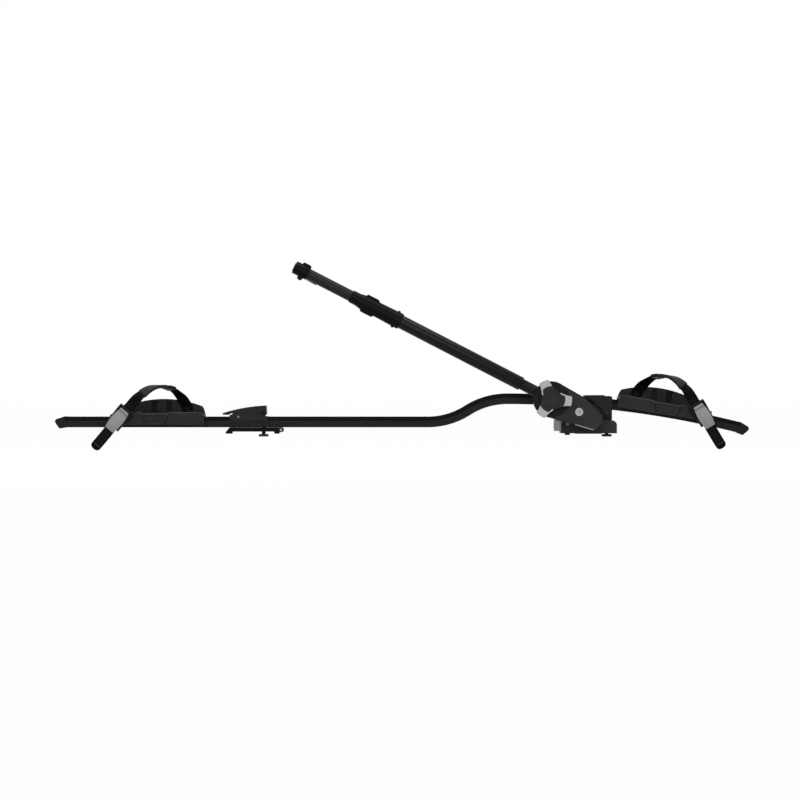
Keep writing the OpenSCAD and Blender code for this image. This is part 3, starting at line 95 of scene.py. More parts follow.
TIP_LINE = 11 * MM
TIP_LINE_W = 0.8 * MM
TIP_LINE_H = 0.5 * MM

# Sleeves on the strap: their start and end along it, and their sections
PAD_SPAN = (81 * MM, 148 * MM)
PAD_HALF_T = 3.1 * MM
PAD_WALL = 1.1 * MM
PAD_CORNER = 2 * MM
PAD_SWELL = 0.7 * MM
PAD_SLANT = 4 * MM
KEEPER_SPAN = (62 * MM, 79 * MM)
KEEPER_HALF_T = 3.6 * MM
KEEPER_WALL = 1.6 * MM
KEEPER_CORNER = 1.5 * MM
SLEEVE_HALF_W = 12.9 * MM
SLEEVE_ROWS = 48
SLEEVE_TUCK = 0.25
SLEEVE_TUCK_RATE = 40


# Meshes

def grid_mesh(name, points, wrap_u=False, caps=False, values=None):
    """A surface over a grid of points, rows along u and columns round v.

    Each cell is one quad. The columns always close round v, the rows close round u if asked,
    and caps close the first and last row with one face each. Faces are turned outwards by the sign
    of the enclosed volume, the sum over all triangles of corner a dot (corner b cross corner c) / 6.
    values names point attributes, each with one number for every point of the grid.
    """
    rows, cols = points.shape[:2]
    index = np.arange(rows * cols).reshape(rows, cols)
    index = np.hstack([index, index[:, :1]])
    if wrap_u:
        index = np.vstack([index, index[:1]])
    quads = np.stack([index[:-1, :-1], index[:-1, 1:], index[1:, 1:], index[1:, :-1]], -1).reshape(-1, 4)
    flat = points.reshape(-1, 3)
    a, b, c, d = (flat[quads[:, k]] for k in range(4))
    volume = np.sum(a * (np.cross(b, c) + np.cross(c, d)))
    faces = quads.tolist()
    if caps:
        faces += [index[0, -2::-1].tolist(), index[-1, :-1].tolist()]
    if volume < 0:
        faces = [face[::-1] for face in faces]
    mesh = bpy.data.meshes.new(name)
    mesh.from_pydata(flat.tolist(), [], faces)
    mesh.polygons.foreach_set("use_smooth", np.ones(len(faces), bool))
    for label, numbers in (values or {}).items():
        layer = mesh.attributes.new(label, "FLOAT", "POINT")
        layer.data.foreach_set("value", numbers.astype(np.float32).ravel())
    mesh.update()
    piece = bpy.data.objects.new(name, mesh)
    bpy.context.scene.collection.objects.link(piece)
    return piece


def unit(vectors):
    """Each vector divided by its own length."""
    return vectors / np.linalg.norm(vectors, axis=-1, keepdims=True)


def smooth_route(points, step):
    """A Catmull-Rom curve through the points, walked at an even step along its length.

    Between two points the curve is the cubic 0.5 (2b + (c-a)t + (2a-5b+4c-d)t^2 + (3b-a-3c+d)t^3)
    of the four points around it, with the end points doubled.
    """
    padded = np.vstack([points[:1], points, points[-1:]])
    t = np.linspace(0, 1, 80, endpoint=False)[None, :, None]
    a, b, c, d = (padded[k:len(padded) - 3 + k, None, :] for k in range(4))
    square = 2 * a - 5 * b + 4 * c - d
    cube = 3 * b - a - 3 * c + d
    curve = 0.5 * (2 * b + (c - a) * t + square * t ** 2 + cube * t ** 3)
    curve = np.vstack([curve.reshape(-1, 3), points[-1:]])
    length = np.concatenate([[0], np.cumsum(np.linalg.norm(np.diff(curve, axis=0), axis=1))])
    count = int(length[-1] / step) + 1
    even = np.linspace(0, length[-1], count)
    return np.stack([np.interp(even, length, curve[:, k]) for k in range(3)], -1), even


def strap_frames(points):
    """The side and the outward face of a strap at each of its points.

    The face looks away from the wheel: out from its middle plane, and up where the strap is high.
    It turns up with the square of the height, earlier on the near side, and the two ways blend across
    the top.
    """
    way = unit(np.gradient(points, axis=0))
    across, height = points[:, 1], points[:, 2]
    near = np.clip(0.5 - across / STRAP_TURN_W, 0, 1)
    far_rise = np.maximum(0, height - STRAP_TURN_Z) ** 2 / STRAP_TURN_H
    near_rise = np.maximum(0, height - STRAP_TURN_NEAR_Z) ** 2 / STRAP_TURN_NEAR_H
    lean = np.stack([
        np.zeros(len(points)),
        across - STRAP_TURN_Y,
        (1 - near) * far_rise + near * near_rise,
    ], -1)
    side = unit(np.cross(unit(lean), way))
    return side, np.cross(way, side)


def rounded_section(half_w, half_t, r, along=14, corner=5):
    """A rectangle with round corners as a closed row of points (across, out): edges in equal steps,
    corners as quarter circles."""
    turn = np.linspace(0, math.pi / 2, corner)
    edge = np.linspace(-half_w + r, half_w - r, along)
    rise = np.linspace(-half_t + r, half_t - r, 3)[1:-1]
    grow, fall = r * np.sin(turn), r * np.cos(turn)
    wide, high = half_w - r, half_t - r
    side = np.full(len(rise), half_w)
    across = np.concatenate([
        edge, wide + fall[-2::-1], side, wide + fall,
        edge[-2::-1], -wide - fall[-2::-1], -side, -wide - fall[:-1],
    ])
    face = np.full(along, half_t)
    out = np.concatenate([
        face, high + grow[-2::-1], rise[::-1], -high - grow,
        -face[1:], -high - grow[-2::-1], rise, high + grow[:-1],
    ])
    return across, out


def on_rear_tray(points):
    """Points of the tray's frame in the row frame, at the rear."""
    return points + np.array([REAR_TRAY_X, 0, LOW_RAIL_TOP])


def on_front_tray(points):
    """Points of the tray's frame in the row frame, at the front: mirrored in X and turned as the crown."""
    turn = FRONT_TRAY_ALONG / CROWN_R
    x = -points[..., 0]
    z = points[..., 2] + HALF_RAIL
    return np.stack([
        CROWN_X + CROWN_R * math.sin(turn) + x * math.cos(turn) + z * math.sin(turn),
        points[..., 1],
        CROWN_TOP_Z - CROWN_R * (1 - math.cos(turn)) - x * math.sin(turn) + z * math.cos(turn),
    ], -1)


# Node groups and materials

# Width of an edge lightened by wear and by a painted highlight, how far the painted shade of a crevice looks
# for other faces, its share of the colour, and the height of the textures
WEAR_HIGHLIGHT_WIDTH = 0.7 * MM
CREVICE_REACH = 4 * MM
CREVICE_SHADE = 0.15
GRAIN_DEPTH = 0.2 * MM


def add(tree, kind, inputs=None, **settings):
    """A node with its settings; an input is a value, or a socket to link."""
    node = tree.nodes.new(kind)
    for key, value in settings.items():
        setattr(node, key, value)
    for key, value in (inputs or {}).items():
        if isinstance(value, bpy.types.NodeSocket):
            tree.links.new(value, node.inputs[key])
        else:
            node.inputs[key].default_value = value
    return node


def work(tree, operation, a, b):
    """The result of one Math node."""
    return add(tree, "ShaderNodeMath", {0: a, 1: b}, operation=operation).outputs[0]


def spread(tree, value, low, high):
    """A value run from 0 at low to 1 at high."""
    inputs = {"Value": value, "From Min": low, "From Max": high}
    return add(tree, "ShaderNodeMapRange", inputs).outputs["Result"]


def noise(tree, place, scale, **detail):
    """The height of a noise at a place."""
    inputs = {"Vector": place, "Scale": scale, **detail}
    return add(tree, "ShaderNodeTexNoise", inputs).outputs["Fac"]


def new_group(name, inputs, outputs):
    """An empty shader node group with named sockets, and its input and output nodes."""
    group = bpy.data.node_groups.new(name, "ShaderNodeTree")
    for label, kind, value in inputs:
        socket = group.interface.new_socket(label, in_out="INPUT", socket_type=kind)
        if value is not None:
            socket.default_value = value
    for label in outputs:
        group.interface.new_socket(label, in_out="OUTPUT", socket_type="NodeSocketFloat")
    return group, add(group, "NodeGroupInput"), add(group, "NodeGroupOutput")


def moulded_grain():
    """Spark-eroded mould texture: fine cells with soft noise between, and a slow change of tone."""
    group, start, end = new_group(
        "moulded_grain",
        [
            ("Vector", "NodeSocketVector", None),
            ("Cells", "NodeSocketFloat", 900.0),
            ("Patches", "NodeSocketFloat", 18.0),
        ],
        ["Height", "Tone"],
    )
    place, cells = start.outputs["Vector"], start.outputs["Cells"]
    pits = add(group, "ShaderNodeTexVoronoi", {"Vector": place, "Scale": cells}, feature="SMOOTH_F1")
    fuzz = noise(group, place, cells, Detail=3.0, Roughness=0.6)
    broad = noise(group, place, start.outputs["Patches"], Detail=4.0)
    group.links.new(work(group, "ADD", pits.outputs["Distance"], fuzz), end.inputs["Height"])
    group.links.new(spread(group, broad, 0.3, 0.7), end.inputs["Tone"])
    return group


def drawn_lines():
    """Long fine lines left by a die or a brush: noise, and the same noise more than twice as fine.

    A material that uses it stretches the place along the lines.
    """
    group, start, end = new_group(
        "drawn_lines",
        [("Vector", "NodeSocketVector", None), ("Lines", "NodeSocketFloat", 900.0)],
        ["Height", "Tone"],
    )
    place, lines = start.outputs["Vector"], start.outputs["Lines"]
    coarse = noise(group, place, lines, Detail=2.0)
    fine = noise(group, place, work(group, "MULTIPLY", lines, 2.3), Detail=1.0)
    group.links.new(work(group, "ADD", coarse, fine), end.inputs["Height"])
    group.links.new(spread(group, coarse, 0.35, 0.65), end.inputs["Tone"])
    return group


def wear_highlight_edges():
    """Masks of edges lightened by wear and by a painted highlight, and of painted shade.

    Mask marks the edges that hands and bikes wear down, lightened partly as wear and partly as a painted
    highlight: where the normal of a small bevel leaves the face's own, broken up by noise. The second output
    marks inner corners and narrow gaps, where little of the room is seen, for painted shade.
    """
    group, start, end = new_group(
        "wear_highlight_edges",
        [("Vector", "NodeSocketVector", None), ("Width", "NodeSocketFloat", WEAR_HIGHLIGHT_WIDTH)],
        ["Mask", "PaintedShade"],
    )
    soft = add(group, "ShaderNodeBevel", {"Radius": start.outputs["Width"]}, samples=4)
    own = add(group, "ShaderNodeNewGeometry")
    meet = add(group, "ShaderNodeVectorMath", {
        0: soft.outputs["Normal"], 1: own.outputs["Normal"]}, operation="DOT_PRODUCT")
    edge = spread(group, work(group, "SUBTRACT", 1.0, meet.outputs["Value"]), 0.005, 0.07)
    keep = spread(group, noise(group, start.outputs["Vector"], 140.0, Detail=4.0), 0.38, 0.62)
    # Ambient occlusion that sets painted shade in inner corners and gaps
    open_share = add(group, "ShaderNodeAmbientOcclusion", {"Distance": CREVICE_REACH}, samples=6)
    group.links.new(work(group, "MULTIPLY", edge, keep), end.inputs["Mask"])
    group.links.new(spread(group, open_share.outputs["AO"], 0.95, 0.55), end.inputs["PaintedShade"])
    return group


GRAIN = moulded_grain()
LINES = drawn_lines()
WEAR_HIGHLIGHT = wear_highlight_edges()


def between(tree, value, low, high):
    """1 where a value lies between two limits, and 0 elsewhere."""
    over = work(tree, "GREATER_THAN", value, low)
    return work(tree, "MULTIPLY", over, work(tree, "LESS_THAN", value, high))


def laid_over(tree, base, mask, tone):
    """A colour with another one laid over it where the mask is 1."""
    mix = add(tree, "ShaderNodeMix", {"Factor": mask, "B": (*tone, 1)}, data_type="RGBA")
    tree.links.new(base, mix.inputs["A"])
    return mix.outputs["Result"]


def finish_of(name, dark, light, wear_highlight_tone, rough, bump, texture=GRAIN, scale=900.0, stretch=(1, 1, 1),
              turn=(0, 0, 0), specular=0.08, metallic=0.0, wear_highlight=0.5, crest_highlight=None, layer=None, painted_shade_strength=1.0):
    """A material whose tone runs from dark to light over a texture, with edges lightened by wear and by a
    painted highlight, and crevices darkened as painted shade.

    Roughness runs over the same tone from the first to the second value, and the texture's height gives the
    bump. The crest colour is a painted highlight, laid where the piece's attribute of the same name is 1.
    layer is a range of places across the carrier and the colour of the faces that lie there, painted shade
    in some finishes. The last two strengths scale the lightened edges and the painted shade.
    """
    material = bpy.data.materials.new(name)
    material.use_nodes = True
    tree = material.node_tree
    tree.nodes.clear()
    out = add(tree, "ShaderNodeOutputMaterial")
    shader = add(tree, "ShaderNodeBsdfPrincipled", {"Metallic": metallic, "Specular IOR Level": specular})
    place = add(tree, "ShaderNodeTexCoord").outputs["Object"]
    laid = add(tree, "ShaderNodeMapping", {"Vector": place, "Rotation": turn, "Scale": stretch})
    grain = add(tree, "ShaderNodeGroup", node_tree=texture)
    grain.inputs[1].default_value = scale
    tree.links.new(laid.outputs["Vector"], grain.inputs["Vector"])
    tint = add(tree, "ShaderNodeMix", {
        "Factor": grain.outputs["Tone"], "A": (*dark, 1), "B": (*light, 1)}, data_type="RGBA")
    colour = tint.outputs["Result"]
    if layer:
        low, high, tone = layer
        parted = add(tree, "ShaderNodeSeparateXYZ", {"Vector": place})
        colour = laid_over(tree, colour, between(tree, parted.outputs["Y"], low, high), tone)
    edges_and_shade = add(tree, "ShaderNodeGroup", node_tree=WEAR_HIGHLIGHT)
    tree.links.new(place, edges_and_shade.inputs["Vector"])
    # Edges lightened partly as wear and partly as a painted highlight
    colour = laid_over(tree, colour, work(tree, "MULTIPLY", edges_and_shade.outputs["Mask"], wear_highlight), wear_highlight_tone)
    # A painted highlight where the piece's crest attribute is 1
    if crest_highlight:
        mark = add(tree, "ShaderNodeAttribute", attribute_name="crest_highlight")
        colour = laid_over(tree, colour, mark.outputs["Fac"], crest_highlight)
    # Painted shade in crevices, darker where the ambient occlusion is low
    depth = work(tree, "MULTIPLY", edges_and_shade.outputs["PaintedShade"], painted_shade_strength)
    colour = laid_over(tree, colour, depth, [CREVICE_SHADE * level for level in dark])
    gloss = add(tree, "ShaderNodeMapRange", {
        "Value": grain.outputs["Tone"], "To Min": rough[0], "To Max": rough[1]})
    relief = add(tree, "ShaderNodeBump", {
        "Height": grain.outputs["Height"], "Strength": bump, "Distance": GRAIN_DEPTH})
    tree.links.new(colour, shader.inputs["Base Color"])
    tree.links.new(gloss.outputs["Result"], shader.inputs["Roughness"])
    tree.links.new(relief.outputs["Normal"], shader.inputs["Normal"])
    tree.links.new(shader.outputs["BSDF"], out.inputs["Surface"])
    return material


def grey(value, warm=0.0):
    """A near neutral colour, a little redder than blue if warm."""
    return (value * (1 + warm), value, value * (1 - warm))


ARM_ANGLE = math.radians(27.3)
ALONG_RAIL = (0.02, 1, 1)

# Places across the carrier: the rail's track between its flanks, the grooves in a tray's far wall, and what
# lies behind the front faces of the housing's cover and of the dial. The track and the tray grooves are
# darkened there as painted shade, and the dial's scoops and sides in part as painted shade.
RAIL_TRACK = (-17.5 * MM, 17.5 * MM)
FAR_GROOVES = (39.3 * MM, 41.3 * MM)
BEHIND_COVER = (-97.6 * MM, -50 * MM)
BEHIND_DIAL = (-124.5 * MM, -90 * MM)

FINISHES = {
    # The rail's track is darkened as painted shade
    "anodised_black": finish_of(
        "anodised_black", grey(0.009), grey(0.013), grey(0.07), (0.30, 0.42), 0.12, LINES, 700.0,
        ALONG_RAIL, specular=0.05, wear_highlight=0.03, layer=(*RAIL_TRACK, grey(0.003))),
    "tube_black": finish_of(
        "tube_black", grey(0.001), grey(0.002), grey(0.05), (0.31, 0.33), 0.01, LINES, 600.0, ALONG_RAIL,
        (0, ARM_ANGLE, 0), specular=0.14, wear_highlight=0.0),
    "tube_satin": finish_of(
        "tube_satin", grey(0.007), grey(0.010), grey(0.08), (0.36, 0.46), 0.05, LINES, 700.0, ALONG_RAIL,
        (0, ARM_ANGLE, 0), specular=0.11, wear_highlight=0.3),
    "moulded_black": finish_of(
        "moulded_black", grey(0.017), grey(0.023), grey(0.09), (0.40, 0.55), 0.35, wear_highlight=0.6),
    # Edges lightened strongly, partly as wear and partly as a painted highlight along the wall tops; the far
    # grooves darkened as painted shade
    "tray_black": finish_of(
        "tray_black", grey(0.012), grey(0.017), grey(0.16), (0.38, 0.52), 0.35, wear_highlight=0.9,
        layer=(*FAR_GROOVES, grey(0.003))),
    "shell_black": finish_of(
        "shell_black", grey(0.005), grey(0.008), grey(0.06), (0.36, 0.50), 0.30, wear_highlight=0.5),
    "collar_black": finish_of(
        "collar_black", grey(0.002), grey(0.003), grey(0.05), (0.26, 0.38), 0.20, specular=0.05, wear_highlight=0.3),
    "lever_black": finish_of(
        "lever_black", grey(0.009), grey(0.014), grey(0.10), (0.30, 0.44), 0.25, wear_highlight=0.6),
    "cover_grey": finish_of(
        "cover_grey", grey(0.017, 0.04), grey(0.022, 0.04), grey(0.09), (0.38, 0.52), 0.22, wear_highlight=0.2,
        layer=(*BEHIND_COVER, grey(0.004))),
    # The dial's scoops and sides are darkened, in part as painted shade
    "dial_grey": finish_of(
        "dial_grey", grey(0.014, 0.04), grey(0.018, 0.04), grey(0.09), (0.38, 0.52), 0.22, wear_highlight=0.1,
        layer=(*BEHIND_DIAL, grey(0.007)), painted_shade_strength=0.1),
    # The painted reflection of the floor along the cover's lower edge
    "reflection_grey": finish_of(
        "reflection_grey", grey(0.19), grey(0.23), grey(0.28), (0.40, 0.52), 0.15, wear_highlight=0.3),
    # The painted highlight along a tray's near wall
    "painted_highlight_grey": finish_of(
        "painted_highlight_grey", grey(0.045), grey(0.075), grey(0.12), (0.40, 0.52), 0.25, wear_highlight=0.3),
    "grip_grey": finish_of(
        "grip_grey", grey(0.28), grey(0.34), grey(0.46), (0.38, 0.52), 0.22, specular=0.16, wear_highlight=0.5),
    "buckle_grey": finish_of(
        "buckle_grey", grey(0.165), grey(0.215), grey(0.32), (0.30, 0.44), 0.18, specular=0.16, wear_highlight=0.5),
    # Its crest colour is a painted highlight on the teeth
    "strap_black": finish_of(
        "strap_black", grey(0.0012), grey(0.0024), grey(0.02), (0.46, 0.60), 0.30, scale=1300.0,
        specular=0.025, wear_highlight=0.6, crest_highlight=grey(0.03)),
    "strap_pad_grey": finish_of(
        "strap_pad_grey", grey(0.011), grey(0.016), grey(0.06), (0.44, 0.58), 0.35, scale=1100.0, wear_highlight=0.5),
    "rubber_black": finish_of(
        "rubber_black", grey(0.004), grey(0.007), grey(0.02), (0.62, 0.78), 0.40, scale=700.0,
        specular=0.05),
    "bearing_grey": finish_of(
        "bearing_grey", grey(0.40), grey(0.47), grey(0.55), (0.30, 0.40), 0.10, specular=0.3),
    "steel": finish_of(
        "steel", grey(0.24), grey(0.30), grey(0.45), (0.24, 0.36), 0.10, LINES, 900.0, (1, 0.05, 1),
        metallic=1.0),
    "rivet_steel": finish_of(
        "rivet_steel", grey(0.11), grey(0.15), grey(0.2), (0.36, 0.48), 0.10, LINES, 900.0, (1, 0.05, 1),
        metallic=1.0),
    "dark_steel": finish_of(
        "dark_steel", grey(0.014), grey(0.022), grey(0.08), (0.30, 0.42), 0.10, LINES, 900.0, (1, 0.05, 1),
        metallic=1.0, wear_highlight=0.3),
    "lock_metal": finish_of(
        "lock_metal", grey(0.27), grey(0.34), grey(0.50), (0.24, 0.36), 0.08, LINES, 1200.0, (1, 0.05, 1),
        metallic=1.0),
    "keeper_grey": finish_of(
        "keeper_grey", grey(0.006), grey(0.009), grey(0.14), (0.34, 0.46), 0.2, wear_highlight=0.7),
}


# CAD nodes: softened edges and their finishes

WELD_REACH = 0.01 * MM
SHARP_ANGLE = math.radians(38)
EDGE_ROUND = {"rail": 0.8 * MM, "rear_tray": 0.9 * MM, "front_tray": 0.9 * MM, "rear_lever": 0.8 * MM}
OTHER_EDGES = 0.5 * MM


def soften(node, width):
    """Merges the loose triangles and rounds the edges of a CAD node, in modifiers only."""
    weld = node.modifiers.new("weld", "WELD")
    weld.merge_threshold = WELD_REACH
    bevel = node.modifiers.new("round_edges", "BEVEL")
    bevel.width = width
    bevel.segments = 2
    bevel.limit_method = "ANGLE"
    bevel.angle_limit = SHARP_ANGLE
    bevel.harden_normals = True


SLOT_OF = {entry["node"]: entry["material_slot"] for entry in frame["record"]["subparts"]}

# Nodes whose tone differs from the rest of their slot
OWN_FINISH = {
    "rear_tray": "tray_black", "front_tray": "tray_black",
    "rear_saddle": "lever_black", "rear_foot": "collar_black",
    "arm_housing": "shell_black", "tube_neck": "shell_black", "tube_cap": "shell_black",
    "rear_end_cap": "shell_black", "front_end_cap": "shell_black",
    "rear_buckle_base": "shell_black", "front_buckle_base": "shell_black",
    "rear_strap_pin": "collar_black", "front_strap_pin": "collar_black",
    "jaw_collar": "collar_black", "lower_jaw": "collar_black", "upper_jaw": "collar_black",
    "dial": "dial_grey", "jaw_bolt": "dark_steel",
}


def dress(piece, body, finish):
    """Puts a piece on its body and its finish."""
    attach(piece, body)
    piece.data.materials.append(FINISHES[finish])


# Straps

def ratchet_strap(name, place):
    """A strap swept along its route: a rounded band, with saw teeth across its outer face towards the tail.

    A tooth rises evenly over four fifths of its pitch and falls over the last fifth. With d the length left
    to the tip, the share of the full width over the last stretch is (1 - (1 - d / stretch)^p)^(1/p), a
    rounded square end. A painted highlight attribute grows over the upper third of each tooth, and marks a
    line across the end.
    """
    line, along = smooth_route(STRAP_ROUTE, STRAP_STEP)
    side, face = strap_frames(line)
    across, out = rounded_section(STRAP_W / 2, STRAP_T / 2, STRAP_CORNER, along=22)
    left = along[-1] - along
    tip = (1 - (1 - np.clip(left / TIP_LENGTH, 0.01, 1)) ** TIP_POWER) ** (1 / TIP_POWER)
    saw = (along / TOOTH_PITCH) % 1.0
    toothed = (left > TIP_LINE + TOOTH_PITCH) & (left < TOOTHED_LENGTH)
    tooth = np.where(toothed, np.minimum(saw, (1 - saw) * 4), 0)
    line_share = np.exp(-((left - TIP_LINE) / TIP_LINE_W) ** 2)
    inner = ((np.abs(across) < TOOTH_HALF_W) & (out > 0))[None, :]
    lift = out[None, :] + (TOOTH_H * tooth + TIP_LINE_H * line_share)[:, None] * inner
    # Painted highlight on the upper third of each tooth and on the raised line across the end
    crest_highlight = np.maximum(np.clip(3 * tooth - 1.6, 0, 1), 1.6 * line_share)[:, None] * inner
    points = (
        line[:, None, :]
        + side[:, None, :] * (across[None, :] * tip[:, None])[..., None]
        + face[:, None, :] * lift[..., None]
    )
    return grid_mesh(name, place(points), caps=True, values={"crest_highlight": crest_highlight})


def strap_sleeve(name, place, span, half_t, wall, r, swell=0.0, slant=0.0):
    """A sleeve round part of a strap: one outer skin and one inner skin, joined at both ends.

    span is its start and end along the strap, and the far end is cut at a slant. The outer skin draws in
    at both ends, and its outward side swells in the middle, as the sine of the way along it.
    """
    first, last = span
    line, along = smooth_route(STRAP_ROUTE, STRAP_STEP)
    side, face = strap_frames(line)
    across, out = rounded_section(SLEEVE_HALF_W, half_t, r)
    hole_across, hole_out = rounded_section(SLEEVE_HALF_W - wall, half_t - wall, max(r - wall, 0.3 * MM))
    steps = np.linspace(0, 1, SLEEVE_ROWS)
    rows = np.concatenate([steps, steps[::-1]])
    skin = np.repeat([1.0, 0.0], SLEEVE_ROWS)[:, None]
    from_end = np.minimum(rows, 1 - rows)[:, None]
    round_end = 1 - SLEEVE_TUCK * np.exp(-from_end * SLEEVE_TUCK_RATE) * skin
    a = skin * across[None, :] + (1 - skin) * hole_across[None, :]
    b = (skin * out[None, :] + (1 - skin) * hole_out[None, :]) * round_end
    b = b + skin * swell * np.sin(np.pi * rows)[:, None] * (out[None, :] > 0)
    at = first + rows[:, None] * (last - first + slant * a / SLEEVE_HALF_W)

    def carry(field):
        return np.stack([np.interp(at, along, field[:, k]) for k in range(3)], -1)

    points = carry(line) + carry(side) * a[..., None] + carry(face) * b[..., None]
    return grid_mesh(name, place(points), wrap_u=True)


def dress_strap(end, place, body):
    """The strap, its rim pad and its keeper on one tray."""
    strap = ratchet_strap(f"{end}_ratchet_strap", place)
    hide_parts(f"{end}_strap")
    pad = strap_sleeve(
        f"{end}_rim_pad", place, PAD_SPAN, PAD_HALF_T, PAD_WALL, PAD_CORNER, PAD_SWELL, PAD_SLANT)
    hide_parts(f"{end}_strap_pad")
    keeper = strap_sleeve(
        f"{end}_strap_keeper", place, KEEPER_SPAN, KEEPER_HALF_T, KEEPER_WALL, KEEPER_CORNER)
    dress(strap, body, "strap_black")
    dress(pad, body, "strap_pad_grey")
    dress(keeper, body, "keeper_grey")


# Small pieces on the rear foot, the arm and the trays, with painted highlight, reflection and shade among
# them

SADDLE_RIVET = MM * np.array([-733.6, -20, 35.1])
SADDLE_RIVET_R = 2.6 * MM
SADDLE_RIVET_RISE = 0.8 * MM

# The arm's hinge, and its ways along and up
HINGE = MM * np.array([6.6, 0, 27])
ARM_WAY = np.array([-0.8886, 0, 0.4587])
ARM_UP = np.array([0.4587, 0, 0.8886])

# Lines of the housing's side view: a place along the arm, the height there and the rise per length
SHOULDER_FLAT = (39 * MM, 34.8 * MM, 0.044)
SHOULDER_STEEP = (35 * MM, 34.2 * MM, 0.305)
SHELL_SIDE = (-10 * MM, 20.4 * MM, 0.1627)
# The cover's lower edge, where a painted reflection of the floor lies
REFLECTION_EDGE = (-9 * MM, -17.6 * MM, -0.188)
SHOULDER_SINK = 1.5 * MM
SHOULDER_ROOT = 5 * MM
SHOULDER_CORNER = 0.6 * MM
# The painted floor reflection on the cover: its height, how far it stands proud of and sinks into the
# cover's face, and its corner
REFLECTION_H = 2.3 * MM
REFLECTION_PROUD = 0.4 * MM
REFLECTION_SUNK = 0.6 * MM
REFLECTION_CORNER = 0.4 * MM
COVER_FACE_Y = -98 * MM
SHELL_BACK_Y = -52 * MM
RIM_W = 1.9 * MM
RIM_BACK = 1.2 * MM
SKIN_PROUD = 0.1 * MM

# Stretches along the arm, from the jaw's end to the hinge's, in mm
SHOULDER_SPAN = (90, -6)
REFLECTION_SPAN = (31, -9)

# Screws through the two lugs of the jaw's collar: their way along the arm, and up and down from its axis
COLLAR_LUG_ALONG = 462 * MM
COLLAR_LUG_UP = 16.45 * MM
COLLAR_LUG_Y = -80 * MM
COLLAR_SCREW_R = 2.4 * MM
COLLAR_SCREW_RISE = 0.6 * MM

# Painted highlight and painted shade lines on a tray's near wall, (along, up) in mm in the tray's own frame
NEAR_WALL_Y = -42 * MM
WALL_LINE_T = 0.8 * MM
WALL_LINE_CORNER = 0.2 * MM
WALL_HIGHLIGHT_W = 1.3 * MM
WALL_SHADE_LINE_W = 1.6 * MM
# The painted highlight bar along the wall's top
WALL_HIGHLIGHT = [(-58, 8.4), (-46, 8.4), (-43.5, 5.4), (14.5, 5.4), (17, 8.4), (82, 8.4)]
# Dark bars of painted shade beside the middle panel
WALL_SHADE_LINES = {"inner": [(-43, 4.4), (-35.5, -15)], "outer": [(14, 4.4), (6, -15)]}


def rivet(name, centre, r, rise):
    """A round rivet head that looks along -Y: a low dome over a short shank.

    The dome's height is rise times the square root of 1 - (radius / r)^2.
    """
    share = np.sin(np.linspace(0.02, 1, 10) * math.pi / 2)
    radius = r * np.concatenate([share, [1.0, 0.02]])
    out = np.concatenate([rise * np.sqrt(1 - share ** 2), [-rise, -rise]])
    turn = np.linspace(0, 2 * math.pi, 28, endpoint=False)
    points = np.stack([
        centre[0] + radius[:, None] * np.cos(turn),
        np.repeat(centre[1] - out[:, None], len(turn), 1),
        centre[2] + radius[:, None] * np.sin(turn),
    ], -1)
    return grid_mesh(name, points, caps=True)


def arm_place(along, up, y):
    """Points of the arm's side view, by their ways along and up from the hinge, at a place across."""
    across = np.array([0, 1.0, 0])
    return HINGE + along[..., None] * ARM_WAY + up[..., None] * ARM_UP + y[..., None] * across


def arm_bar(name, along, low, high, near, far, r):
    """A bar that runs along the arm: at each way along it a round cornered rectangle from low to high and
    from near to far across."""
    rows = [rounded_section((top - bottom) / 2, (far - near) / 2, r) for bottom, top in zip(low, high)]
    up = np.stack([section[0] for section in rows]) + ((low + high) / 2)[:, None]
    y = np.stack([section[1] for section in rows]) + (near + far) / 2
    return grid_mesh(name, arm_place(np.repeat(along[:, None], up.shape[1], 1), up, y), caps=True)


def height_on(side_line, along):
    """The height of a straight line of the side view at places along the arm."""
    start, height, rise = side_line
    return height + rise * (along - start)


def housing_shoulder(name, drop, near, far):
    """The full upper side of the housing between the dial and the hinge, from near to far across.

    Its upper edge is the lower of two straight lines, a flat one from the dial and a steep one to the
    hinge, both lowered by drop, and no lower than just inside the shells' straight side. Its lower edge
    runs further inside the housing.
    """
    along = MM * np.linspace(*SHOULDER_SPAN, 60)
    roof = np.minimum(height_on(SHOULDER_FLAT, along), height_on(SHOULDER_STEEP, along))
    side = height_on(SHELL_SIDE, along)
    high = np.maximum(roof - drop, side - SHOULDER_SINK)
    return arm_bar(name, along, side - SHOULDER_ROOT, high, near, far, SHOULDER_CORNER)


def cover_floor_reflection():
    """A painted reflection of the floor: a thin light bar along the lower edge of the cover."""
    along = MM * np.linspace(*REFLECTION_SPAN, 12)
    edge = height_on(REFLECTION_EDGE, along)
    near, far = COVER_FACE_Y - REFLECTION_PROUD, COVER_FACE_Y + REFLECTION_SUNK
    return arm_bar("cover_floor_reflection", along, edge, edge + REFLECTION_H, near, far, REFLECTION_CORNER)


def wall_line(name, place, corners, width):
    """A thin bar on a tray's near wall, painting a highlight or a shade: a flat section carried through
    corners (along, up) of the wall.

    At each corner the section stands square to the mean of the two ways that meet there.
    """
    path = MM * np.array(corners, float)
    way = unit(np.gradient(path, axis=0))
    across, out = rounded_section(width / 2, WALL_LINE_T / 2, WALL_LINE_CORNER)
    side = np.stack([-way[:, 1], way[:, 0]], -1)
    flat = path[:, None, :] + side[:, None, :] * across[None, :, None]
    y = np.repeat(NEAR_WALL_Y - out[None, :], len(path), 0)
    return grid_mesh(name, place(np.stack([flat[..., 0], y, flat[..., 1]], -1)), caps=True)


